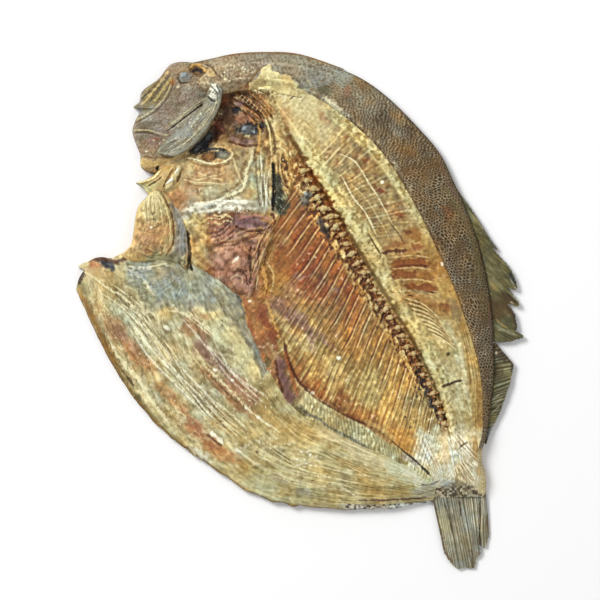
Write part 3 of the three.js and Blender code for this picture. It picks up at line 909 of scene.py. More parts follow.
@dataclass
class RibPanel(Form):
    """The flesh between the flap and the backbone, with its ribs, its fine lines and the comb strip."""

    name: ClassVar[str] = "rib_panel"
    columns: int = 150
    rows: int = 600
    foot: float = 0.25
    underlap: float = 15.0
    rib_reach: float = 26.0

    under: ClassVar[Marks] = (
        Spot(RED, -3, 25, 9, 13, 35, 0.6), Spot(RED, 9, 12, 9, 11, 35, 0.55),
        Spot(MAUVE, -4, 9, 8, 6, 35, 0.45),
        Stroke(MAUVE, 8, (-15, 6, -5, -2, 6, -10, 18, -20), 0.85, 0.1, 1.4),
        Stroke(PLUM, 4, (-8, -1, 2, -7, 10, -15), 0.5, 0, 1.4),
        Stroke(BONE, 4.5, (-17, 0, -6, -9, 6, -19), 0.45, 0.1, 1.4), Spot(OLIVE, 4, -32, 14, 7, -35, 0.35),
        Spot(STRAW, 14, -30, 14, 8, -40, 0.45), Spot(AMBER, 17, -5, 13, 9, -60, 0.5),
        Spot(OCHRE, 22, -20, 15, 9, -50, 0.45),
    )
    marks: ClassVar[Marks] = (
        Spot(SALMON, -22, 20, 8, 12, 20, 0.6, 0.5), Spot(MAUVE, -26, 14, 5, 7, 20, 0.6, 0.4),
        Spot(MAUVE, -24, 30, 5, 4, 20, 0.6, 0.4),
        Stroke(GOLD, 1.6, (-16, 44, -17.5, 34, -19, 24, -17, 15, -18, 6), 0.7, 0.9, 1.4),
        Stroke(CREAM, 0.9, (-22, 33, -21, 22, -22, 10), 0.7, 0.5, 1.2),
        Stroke(OCHRE, 2, (-19, 36, -17, 26, -15, 17, -14, 8), 0.6, -0.3, 1.4),
        Stroke(CREAM, 0.9, (-17, 25, -13, 17, -15, 8), 0.6, 0.5, 1.2), Spot(AMBER, -8, 45, 5, 14, -30, 0.5),
        *strands(STRAW, 0.6, (0, 50, -8, 40, -14, 30, -17, 20), 3, 2.6, 0.4, 0.3),
        Stroke(RED, 4, (-20, 4, -15, -9, -11, -20), 0.75, 0.3, 1.4),
        Stroke(GOLD, 1.6, (-17, 6, -13, -6, -10, -14), 0.8, 0.5, 1.2),
        Stroke(MAROON, 1.3, (-8, -14, -6.5, -22, -3.5, -30, 0, -36, 8, -43.8), 0.85, -0.5),
        Stroke(MAROON, 0.9, (8, -43.8, 16.5, -48.7, 27, -54.4, 34, -57), 0.8, -0.4),
        Stroke(BARK, 0.8, (34, -57, 42, -61.8, 48, -66.8, 53, -71), 0.7, -0.2),
        Stroke(PLUM, 5.4, (-10.5, -23, -9.5, -31, -7, -39, -4, -47), 0.95, 1, 0.9),
        Stroke(RUST, 1.6, (-7.5, -20, -5.5, -28, -3.5, -35, -1, -43), 0.85, 0.6),
        Stroke(MAROON, 1.2, (-12, -24, -11, -33, -8, -42), 0.7, -0.4),
        Spot(MOSS, 0, -50, 4.5, 2.2, -35, 0.7, -0.3), Spot(MOSS, -17, -26.5, 4, 2.2, 60, 0.6, -0.3),
        Spot(INK, 12, 41, 2.2, 4.6, 35, 0.75, -0.3), Spot(SLATE, 10, 44.5, 2.2, 2.6, 20, 0.6, 0.3),
        Spot(SLATE, 3, 56.5, 5, 2.4, 50, 0.75, 0.5), Spot(BLUE, 3, 58.5, 1.3, 0.8, 0, 0.9, 0.3),
        Stroke(INK, 3, (58, -27, 62, -37, 66.5, -47, 69, -54), 0.75, -0.2, 1.4),
        Spot(WHITE, 19.5, -23.5, 1.2, 1, 0, 0.95, 0.4), Spot(WHITE, 6.3, -41.2, 1.2, 0.9, 0, 0.7, 0.4),
        Spot(WHITE, -25, 5, 0.9, 0.7, 20, 0.7, 0.4), Spot(STRAW, -7.5, 35.5, 3, 3, 20, 0.45),
        Spot(HONEY, -9, 23, 6, 12, -30, 0.4, 0, 1.2), Spot(SALMON, 0, 28, 5, 4, 30, 0.4),
        Stroke(STRAW, 2.6, (32, -55, 40, -59.5, 48, -65), 0.6), Spot(OCHRE, 20, -52, 5, 2, -30, 0.35),
        Spot(PINE, -8.5, 51.5, 2.8, 4.4, -35, 0.85, -0.2),
        *flecks(ASH, -8.5, 51.5, 3, 2.4, 7, 0.4, 0.2, -35),
    )

    def plan(self, over: Field, along: Field) -> Sheet:
        """Lays the panel from under the flap to the backbone."""
        u = mix(TRUNK_START, 1.0, along)
        foot, bone = HINGE.at(u), SPINE.at(u)
        span = np.hypot(*(bone - foot).T)
        v = mix(-np.minimum(self.underlap / span, 0.5), 1.0, over)
        place = mix(foot, bone, v[:, None])
        stops = [-0.4, -0.1, 0.0, 0.07, 0.16, 0.5, 0.9, 1]
        height = np.interp(v, stops, [3.2, 4.8, 4.8, 5.4, 5.2, 5.9, 7.0, 8.2]) * fullness(u)
        self.u, self.from_bone, self.from_hinge = u, span * (1 - v), span * v
        return Sheet(place[:, 0], place[:, 1], height, span * v, SPINE.length(u))

    def paint(self, sheet: Sheet, over: Field, along: Field) -> None:
        """Golden flesh, red-brown near the bone, with pale ribs and fine pale lines."""
        wash = sheet.wash
        u, w, d = self.u, self.from_bone, self.from_hinge
        run = sheet.across
        # the row of ribs, and two lines to each
        sway = 0.9 * (soft(run / 14, w / 9) - 0.5)
        phase = run / VERTEBRA_PITCH + 0.05 * np.sin(w / 5) + 0.14 * sway
        index = np.floor(phase).astype(int)
        chance = np.random.default_rng(5).random((80, 6))[index % 80]
        shift = ((phase % 1) - 0.5 + 0.14 * (chance[:, 1] - 0.5)) * VERTEBRA_PITCH
        half = ((2 * phase) % 1 - 0.5) * VERTEBRA_PITCH / 2
        each = np.random.default_rng(6).random((160, 4))[np.floor(2 * phase).astype(int) % 160]
        # golden ground
        wash(1, HONEY)
        wash(rough(run / 5, w / 9) * 0.6, OCHRE)
        wash(smooth(0.35, 0.5, u) * smooth(20, 30, w) * 0.6, KHAKI)
        wash(smooth(0.55, 0.75, u) * 0.6, KHAKI)
        wash(smooth(0.45, 0.6, u) * smooth(8, 20, w) * 0.3, GOLD)
        wash(smooth(0.4, 0.8, each[:, 2]) * smooth(0.4, 0.55, u) * 0.35, STRAW)
        # red flesh near the bone
        red = smooth(5, 10, w) * smooth(36, 22, w + 8 * (rough(run / 6, w / 6) - 0.5)) * smooth(0.66, 0.4, u)
        wash(red * mix(0.5, 1.0, rough(run / 3, w / 6)), BRICK)
        wash(red * cloud(0.35, 0.6, index * 3.7, w / 6) * 0.8, RED)
        wash(red * cloud(0.55, 0.75, run / 4 + 60, w / 4) * 0.5, AMBER)
        sheet.lay(self.under)
        # fine lines, each with painted shade on one side
        grain = threads(w, run, 7, 1.1, 1.5)
        sheet.shade(0.4 * (grain - 0.35))
        low = smooth(13, 22, w) * smooth(0.3, 0.42, u)
        wane = mix(0.4, 1, rough(run / 2.0 + 5, w / 8))
        # ochre beside each pale line: painted shade on its one side
        wash(bell(half - 0.8, 0.5) * low * wane * mix(0.2, 0.8, each[:, 1]), OCHRE, -0.25)
        wash(bell(half, 0.4) * low * wane * mix(0.25, 0.8, each[:, 0]), CREAM, 0.3)
        # ribs, each with a painted shadow line on one side and fainter painted shade on the other
        reach = self.rib_reach * mix(0.75, 1.25, chance[:, 0]) * mix(1, 0.6, smooth(0.6, 0.9, u))
        ends = smooth(4, 9, w) * smooth(reach + 5, reach - 3, w) * smooth(0.92, 0.84, u)
        # maroon on one side of each rib: painted shadow
        wash(bell(shift + 0.95, 0.6) * ends * 0.6, MAROON, -0.3)
        # bark on the other side: fainter painted shade
        wash(bell(shift - 0.95, 0.6) * ends * 0.3, BARK, -0.15)
        wear = mix(0.45, 1, rough(run / 2 + 30, w / 3))
        wash(bell(shift, 0.45) * ends * mix(0.6, 1, chance[:, 2]) * wear, CREAM, 0.6)
        # red flames along the comb strip
        reach = 12 * mix(0.3, 1.2, rough(run / 1.5 + 40, d * 0, 2))
        flame = smooth(0, -4, d - reach) * smooth(-1, 0.5, d) * smooth(0.42, 0.5, u) * smooth(0.82, 0.66, u)
        flame *= mix(0.4, 1, rough(run / 1.1 + 4, d / 9))
        wash(flame * mix(0.85, 0.5, smooth(0.6, 0.72, u)), RUST, -0.2)
        wash(flame * smooth(3, 0.5, d) * 0.5, MAROON)
        outer = smooth(1.0, -1.0, d)
        wash(outer * 0.8, TAN)
        wash(outer * rough(run / 4, d / 2) * smooth(0.52, 0.42, u), BRICK)
        # comb strip
        waver = 1.6 * (soft(run / 6, d * 0) - 0.5)
        comb = smooth(0.0, -1.0, d + waver) * smooth(0.5, 0.56, u) * smooth(0.93, 0.88, u)
        wash(comb, LICHEN)
        wash(comb * cloud(0.3, 0.7, run / 7, d / 3) * 0.7, MINT)
        bars = (run + 0.6 * d + 2.2 * soft(run / 5, d / 4)) / 1.9
        slot = np.random.default_rng(7).random((400, 2))[np.floor(bars).astype(int) % 400]
        bars = np.abs(bars % 1 - 0.5) * 2
        wash(comb * smooth(0.6, 1.0, bars) * mix(0.15, 0.8, slot[:, 0]), MOSS, -0.25)
        wash(comb * smooth(0.4, 0.0, bars) * mix(0.1, 0.7, slot[:, 1]), PALE, 0.2)
        wash(comb * 0.28, KHAKI)
        wash(comb * bell(d + 9.2 + waver, 0.7) * 0.7, SLATE, -0.3)
        # crumbled bed by the bone
        open_bone = smooth(0.17, 0.3, u)
        bed = smooth(11, 6, w + 6 * (rough(run / 2, w / 2) - 0.5)) * smooth(0.9, 0.7, u)
        crumbs = rough(run / 2.0, w / 2.0, 3)
        wash(bed * 0.85, HONEY, 0.3)
        wash(bed * smooth(0.5, 0.75, crumbs) * 0.85, CREAM, 0.7)
        wash(bed * smooth(0.42, 0.2, crumbs) * mix(0.3, 0.8, open_bone), UMBER, -0.5)
        core = smooth(4.6, 2.2, w + 3 * (crumbs - 0.5)) * smooth(0.905, 0.88, u) * open_bone
        wash(core * 0.7, UMBER, -0.7)
        wash(core * cloud(0.5, 0.7, run / 1.8 + 20, w) * 0.7, RUST)
        hair = threads(w, run, 14, 1.5, 3)
        wash(hair * 0.5 * smooth(0.7, 0.9, u), PALE, 0.25)
        dress_tail(sheet)
        sheet.lay(SHOULDER_MARKS)
        sheet.mottle(9, 0.12, 0.14)
        sheet.fleck(0.26 * smooth(0.92, 0.86, u) + 0.08)


@dataclass
class LadderPanel(Form):
    """The flesh beyond the backbone, with its pale ridge and its ladder of thin rungs."""

    name: ClassVar[str] = "ladder_panel"
    columns: int = 130
    rows: int = 640
    foot: float = 0.25
    rung_pitch: float = 4.3

    marks: ClassVar[Marks] = (
        Spot(CREAM, 3, 99, 16, 9, -55, 0.6, 0.4), Spot(SALMON, -8, 97, 4, 6, 10, 0.35),
        Spot(PALE, -10, 112, 9, 6, -15, 0.8, 0.4),
        Stroke(BARK, 0.9, (-5, 106, -2.5, 107.5, 1, 107), 0.7, -0.5), Spot(STRAW, 2, 91, 9, 5, -50, 0.5),
        Stroke(PALE, 0.8, (20.5, 68, 26.5, 57, 33, 48.5, 38.5, 37.5), 0.85, 0.5),
        Stroke(PALE, 0.7, (19.5, 78.5, 26.5, 75.5, 30.5, 70.5, 35, 63, 39, 57, 46.5, 43), 0.85, 0.5),
        Stroke(CREAM, 0.6, (24, 65, 33, 56, 40, 45, 45, 36), 0.5, 0.3),
        Stroke(BARK, 0.7, (34, 39, 38, 32, 40.5, 28), 0.7, -0.5),
        Stroke(BARK, 0.6, (45, 44, 49, 39, 52, 34), 0.6, -0.4), Spot(RUST, 23.3, 86.7, 1.8, 1.1, 50, 0.7),
        Spot(BRICK, 12, 96, 4, 2, -50, 0.35), Spot(RUST, 32.8, 75.3, 1.8, 1.2),
        Spot(RED, 41, 60, 2.4, 1.3, -10, 0.85), Spot(RUST, 50, 48, 3, 1.2, -10, 0.7),
        Spot(AMBER, 56.2, 38, 4.8, 3.4, -20, 0.85, -0.2), Spot(MAROON, 54, 39.5, 2, 1, -20, 0.5),
        Spot(BRICK, 58, 32, 3, 2.2, -10, 0.8, -0.2),
        Stroke(MAROON, 1.5, (40.5, 28.8, 47, 30, 54, 30.2), 0.8, -0.4, 1),
        Stroke(RUST, 2.4, (41, 31, 48, 33, 54, 34), 0.5, -0.2, 1),
        Spot(AMBER, 56, 20, 15, 11, -20, 0.5, 0, 1.2),
        Stroke(RUST, 4.2, (46.5, 23, 56, 24.4, 65.5, 23.6), 0.8, -0.3, 1.4),
        Stroke(MAROON, 1, (49, 22.2, 56, 22.8, 65, 22.4), 0.6, -0.2),
        Stroke(RUST, 4.4, (45, 17.6, 52, 18.6, 59, 18), 0.75, -0.3, 1.4),
        Stroke(AMBER, 4.2, (57, 17.6, 62, 17.4, 67, 16.6), 0.85, -0.2, 0.8),
        Stroke(RUST, 4.4, (51.5, 12.6, 60, 12, 69, 10.6), 0.8, -0.3, 1.4),
        Stroke(SHADE, 0.8, (55, 10.2, 61, 9.5, 68, 9), 0.8, -0.3), Spot(AMBER, 60, 4.5, 11, 3.4, -12, 0.6),
        Spot(RUST, 73, 1.8, 3, 2.4, -30, 0.75), Spot(SHADE, 72, 0, 1.2, 0.8, 0, 0.7),
        Spot(OCHRE, 66, 0, 10, 4, -15, 0.45), Spot(DRAB, 77.5, 0, 2.4, 7, 15, 0.5),
        *(Stroke(CREAM, 0.7, (45 + k, 26.6 - 5.6 * k, 56 + k, 27.6 - 5.9 * k, 65 + k, 26.6 - 6.2 * k), 0.6,
            0.3, 1.2) for k in range(4)),
        *(Stroke(CREAM, 0.8, (52 + 1.9 * k, 6.5 - 2.5 * k, 61 + 1.6 * k, 3.6 - 2.6 * k, 70 + 1.2 * k,
            -4 - 2.2 * k), 0.7, 0.4) for k in range(8)),
        *(Stroke(OCHRE, 0.7, (53 + 1.9 * k, 4.9 - 2.5 * k, 62 + 1.6 * k, 2.2 - 2.6 * k, 70 + 1.3 * k,
            -5.3 - 2.2 * k), 0.5, -0.2) for k in range(7)),
        Stroke(SHADE, 1.2, (70.5, -38, 76, -36, 81.5, -34.5), 0.85, -0.5),
        Spot(SHADE, 74, -21.5, 1.3, 0.9, 0, 0.8, -0.3), Spot(WHITE, 71.5, 23.5, 1.3, 1, 0, 0.8, 0.4),
        Spot(WHITE, 41, 64.5, 1.3, 1, 0, 0.8, 0.4),
        Stroke(PALE, 2.4, (80, -16, 81.5, -30, 83, -44), 0.6, 0.3),
    )

    def plan(self, over: Field, along: Field) -> Sheet:
        """Lays the panel from the backbone over the ridge and the ladder to the skin."""
        u = mix(TRUNK_START, 1.0, along)
        lanes = [SPINE.at(u), RIDGE.at(u), LADDER.at(u), SKIN_IN.at(u)]
        stops = [0, 0.22, 0.86, 1.0]
        place = np.zeros((len(u), 2))
        for k in range(3):
            inside = (over >= stops[k]) & (over <= stops[k + 1])
            t = (over - stops[k]) / (stops[k + 1] - stops[k])
            place = np.where(inside[:, None], mix(lanes[k], lanes[k + 1], t[:, None]), place)
        place = waist(place)
        stations = [0, 0.05, 0.1, 0.2, 0.35, 0.86, 1]
        grooved = np.interp(over, stations, [8.4, 7.6, 6.2, 9.0, 8.2, 7.7, 7.6])
        plain = np.interp(over, [0, 0.3, 1], [8.3, 8.5, 7.6])
        height = mix(grooved, plain, smooth(0.87, 0.92, u)) * fullness(u)
        away = np.hypot(*(place - lanes[0]).T)
        self.u, self.away = u, away
        self.from_skin = np.hypot(*(place - lanes[3]).T)
        return Sheet(place[:, 0], place[:, 1], height, away, SPINE.length(u))

    def paint(self, sheet: Sheet, over: Field, along: Field) -> None:
        """Tan flesh with cream rungs, a rust groove by the bone and a pale lumpy ridge."""
        wash = sheet.wash
        u, w, s = self.u, self.away, self.from_skin
        run = sheet.across
        lumps = rough(sheet.x / 3.5, sheet.y / 3.5, 3)
        grit = rough(sheet.x / 1.3 + 9, sheet.y / 1.3, 2)
        wash(1, TAN)
        wash(rough(run / 6, w / 8) * 0.7, KHAKI)
        # rungs of the ladder
        lean = np.interp(u, [0.2, 0.3, 0.375, 0.5, 0.65, 0.8], [-0.16, 0, 0.11, 0.25, 0.1, 0])
        sway = 0.8 * (soft(run / 7, w / 7) - 0.5)
        phase = (run - lean * w + sway) / self.rung_pitch
        index = np.floor(phase).astype(int)
        chance = np.random.default_rng(8).random((80, 4))[index % 80]
        fine = np.abs((3 * phase) % 1 - 0.5) * 2
        inner = smooth(0.26, 0.36, over) * smooth(0.92, 0.82, over)
        cells = inner * smooth(0.13, 0.2, u) * smooth(0.47, 0.43, u)
        shift = (phase % 1) - 0.5
        patch = rough(run / 3, w / 4)
        wash(cells * smooth(0.3, 0.8, patch) * mix(0.2, 0.8, chance[:, 0]), OCHRE, -0.25)
        wash(cells * cloud(0.5, 0.75, run / 2 + 8, w / 3) * 0.5, DRAB, -0.2)
        wash(cells * cloud(0.68, 0.85, run / 1.5 + 30, w / 3) * 0.6, BRICK, -0.2)
        wash(smooth(0.6, 1.0, fine) * cells * 0.22, DRAB, -0.08)
        wash(smooth(0.5, 0.0, fine) * cells * 0.25, LINEN, 0.08)
        broken = mix(0.2, 1, cloud(0.3, 0.6, run / 2 + 70, w / 5))
        wash(bell(shift * self.rung_pitch, 0.45) * cells * broken * mix(0.3, 0.8, chance[:, 2]), CREAM, 0.3)
        # weave, and the pale upper end
        weave = threads(w, run, 5, 1.0, 2)
        wash(weave * 0.22, CREAM, 0.08)
        upper = smooth(0.24, 0.14, u)
        wash(upper * 0.75, CREAM)
        wash(upper * smooth(0.45, 0.7, lumps) * 0.5, KHAKI, -0.2)
        # lumpy ridge
        near = over + 0.05 * (lumps - 0.5)
        ridge = smooth(0.09, 0.14, near) * smooth(0.4, 0.3, near) * smooth(0.1, 0.18, u)
        wash(ridge * 0.85, LINEN, 0.5)
        wash(ridge * smooth(0.45, 0.75, lumps) * 0.5, CREAM, 0.5)
        wash(ridge * smooth(0.5, 0.25, grit) * 0.7, KHAKI, -0.25)
        wash(ridge * smooth(0.3, 0.45, u) * 0.3, STRAW)
        # pale plate before the tail
        plate = smooth(0.1, 0.2, over) * smooth(0.8, 0.7, over) * smooth(0.62, 0.7, u)
        wash(plate * 0.85, LINEN)
        wash(plate * cloud(0.35, 0.65, run / 7, w / 6) * 0.6, PALE, 0.4)
        wash(plate * threads(run, w, 9, 1.1, 2) * 0.5, KHAKI, -0.2)
        # rough edge by the skin
        edge = smooth(0.82, 0.88, over)
        rough_edge = edge * smooth(0.12, 0.18, u) * smooth(0.5, 0.42, u)
        wash(rough_edge * 0.9, LINEN, 0.6)
        wash(rough_edge * smooth(0.5, 0.75, grit) * 0.5, CREAM, 0.2)
        wash(rough_edge * smooth(0.5, 0.25, lumps) * 0.8, KHAKI, -0.4)
        tan_edge = smooth(0.7, 0.8, over) * smooth(0.45, 0.5, u) * smooth(0.66, 0.6, u)
        wash(tan_edge * 0.85, GOLD, 0.2)
        woven = smooth(0.25, 0.4, over) * smooth(0.48, 0.52, u) * smooth(0.62, 0.56, u)
        wash(woven * rough(run / 3, w / 4) * 0.9, HONEY)
        # striped side
        stripes = threads(run, s, 20, 1.5, 1.3)
        side = smooth(0.72, 0.8, over) * smooth(0.62, 0.68, u) * smooth(0.97, 0.9, u)
        wash(side * 0.9, KHAKI)
        wash(side * 0.4, GOLD)
        wash(side * cloud(0.3, 0.7, run / 9, s / 3) * 0.7, STRAW, 0.2)
        wash(side * smooth(0.5, 0.8, stripes) * 0.35, CREAM, 0.2)
        wash(side * smooth(0.4, 0.1, stripes) * 0.35, OCHRE, -0.2)
        # groove by the bone
        reach = w + 2.2 * (lumps - 0.5) + 1.5 * (grit - 0.5)
        deep = mix(5.0, 1.6, smooth(0.3, 0.55, u))
        groove = smooth(deep + 1, deep - 0.5, reach) * smooth(0.91, 0.87, u)
        groove *= mix(0.35, 1, smooth(0.1, 0.25, u))
        wash(groove * 0.9, OCHRE, -0.3)
        wash(groove * smooth(0.3, 0.6, lumps) * 0.85, RUST)
        wash(groove * smooth(2.6, 1.0, reach) * 0.65, UMBER, -0.5)
        wash(groove * smooth(0.6, 0.8, grit) * 0.5, GOLD, 0.3)
        dress_tail(sheet)
        sheet.lay(SHOULDER_MARKS)
        sheet.z += (0.4 * (lumps - 0.5) + 0.2 * (grit - 0.5)) * smooth(0.95, 0.88, u)
        sheet.mottle(8, 0.12, 0.1)
        sheet.fleck(0.14 * smooth(0.92, 0.86, u) + 0.06)


@dataclass
class SkinMargin(Form):
    """The strip of scaly skin along the back, with its cut inner edge standing up."""

    name: ClassVar[str] = "skin_margin"
    relief: ClassVar[Triple] = (1.0, 0.2, 0.3)
    columns: int = 100
    rows: int = 950
    foot: float = 0.25
    scale_pitch: float = 1.75

    marks: ClassVar[Marks] = (
        Spot(LILAC, 2, 119, 16, 7, -8, 0.55), Spot(MOSS, 12, 111, 4.5, 3, -50, 0.6, -0.3),
        Spot(BRICK, 23.5, 110, 2, 3.5, -20, 0.4), Spot(PALE, 17, 102.5, 6, 2.2, -45, 0.6, 0.4),
        Spot(OCHRE, 54, 79.5, 5, 2.5, -20, 0.45), Spot(RUST, 73.5, 49, 4, 2.5, -60, 0.4),
        Stroke(OLIVE, 3.5, (72, 62, 82, 47, 88, 30, 90, 14), 0.4),
        Stroke(MOSS, 2.6, (86, 36, 92, 14, 93, -6), 0.5), Spot(WHITE, 56.5, 44, 1.2, 1.6, 20, 0.6, 0.3),
        Spot(WHITE, 59, 36, 1, 1.4, 20, 0.6, 0.3),
    )

    def plan(self, over: Field, along: Field) -> Sheet:
        """Lays the strip between the cut edge of the skin and the fins."""
        inner, outer = SKIN_IN.at(along), SKIN_OUT.at(along)
        place = waist(mix(inner, outer, over[:, None]))
        wide = np.hypot(*(outer - inner).T)
        height = np.interp(over, [0, 0.08, 0.3, 0.6, 0.9, 1], [8.0, 9.0, 8.3, 6.8, 4.8, 3.6])
        height *= np.maximum(fullness(along), 0.8 * smooth(0.3, 0.0, along))
        return Sheet(place[:, 0], place[:, 1], height, SKIN_IN.length(along), wide * over)

    def paint(self, sheet: Sheet, over: Field, along: Field) -> None:
        """Grey-brown skin with rows of small scales, each with a pale rim and a dark middle."""
        wash = sheet.wash
        u, run, wide, x, y = along, sheet.along, sheet.across, sheet.x, sheet.y
        wash(1, GREY)
        wash(smooth(0.13, 0.2, u + 0.04 * (rough(x / 5, y / 5) - 0.5)) * 0.9, DRAB)
        wash(smooth(0.22, 0.34, u) * smooth(0.8, 0.6, u) * 0.66, BARK)
        wash(cloud(0.35, 0.8, run / 9, wide / 5) * 0.45, OCHRE)
        wash(cloud(0.5, 0.8, run / 7 + 30, wide / 5) * 0.5, BARK)
        wash(smooth(0.3, 0.9, over) * smooth(0.2, 0.4, u) * 0.25, MOSS)
        # scales, laid like bricks
        p = self.scale_pitch
        a = run * 0.87 + wide * 0.5 + 1.3 * soft(x / 1.9, y / 1.9) + 3 * soft(x / 9, y / 9)
        b = wide * 0.87 - run * 0.5 + 1.3 * soft(x / 1.9 + 50, y / 1.9) + 3 * soft(x / 9 + 5, y / 9)
        tall = p * math.sqrt(3)
        first = np.hypot(((a / p) % 1 - 0.5) * p, ((b / tall) % 1 - 0.5) * tall)
        second = np.hypot(((a / p + 0.5) % 1 - 0.5) * p, ((b / tall + 0.5) % 1 - 0.5) * tall)
        far = np.minimum(first, second) / p
        clear = mix(0.2, 1, rough(x / 3, y / 3)) * mix(1, 0.8, smooth(0.85, 1, over))
        low = smooth(0.2, 0.4, u)
        wash(smooth(0.36, 0.14, far) * clear * mix(0.4, 0.95, low), SHADE, -0.15)
        wash(smooth(0.4, 0.54, far) * clear * mix(0.45, 0.9, low), ASH, 0.25)
        wash(smooth(0.38, 0.54, far) * clear * low * 0.2, TAN)
        # hatched skin over the nape
        hatch = np.abs(((a + 0.25 * b) / 1.35) % 1 - 0.5) * 2
        top = smooth(0.42, 0.25, u) * smooth(0.1, 0.2, u)
        wash(top * smooth(0.5, 0.9, hatch) * 0.6, SHADE, -0.1)
        wash(top * smooth(0.45, 0.05, hatch) * 0.35, ASH, 0.1)
        # painted shade along the cut edge, the line along the fins, and painted shade at the outer edge
        cut = smooth(0.07, 0.0, over + 0.07 * (rough(run / 2, wide) - 0.4)) * smooth(0.15, 0.3, u)
        # sepia along the raised cut edge: painted shade
        wash(cut * 0.65, SEPIA)
        flake = cloud(0.5, 0.8, x / 2.5 + 11, y / 2.5, 3) * smooth(0.2, 0.03, over)
        wash(flake * smooth(0.5, 0.3, u) * 0.6, PALE, 0.2)
        line = bell(over - 0.9 + 0.04 * (rough(run / 4, wide / 4) - 0.5), 0.05) * smooth(0.25, 0.4, u)
        wash(line * rough(run / 3, wide) * 0.8, PLUM)
        # darker at the outer edge where the skin drops to the fins: painted shade
        wash(smooth(0.96, 1.0, over) * 0.35, SHADE)
        bare = smooth(-68, -73, y + 4 * (rough(x / 3, y / 3) - 0.5))
        wash(bare * 0.9, PALE)
        wash(bare * rough(x / 1.2, y / 8) * 0.6, KHAKI)
        wash(bare * smooth(0.7, 1.0, over) * 0.5, GOLD)
        sheet.mottle(7, 0.16, 0.1)


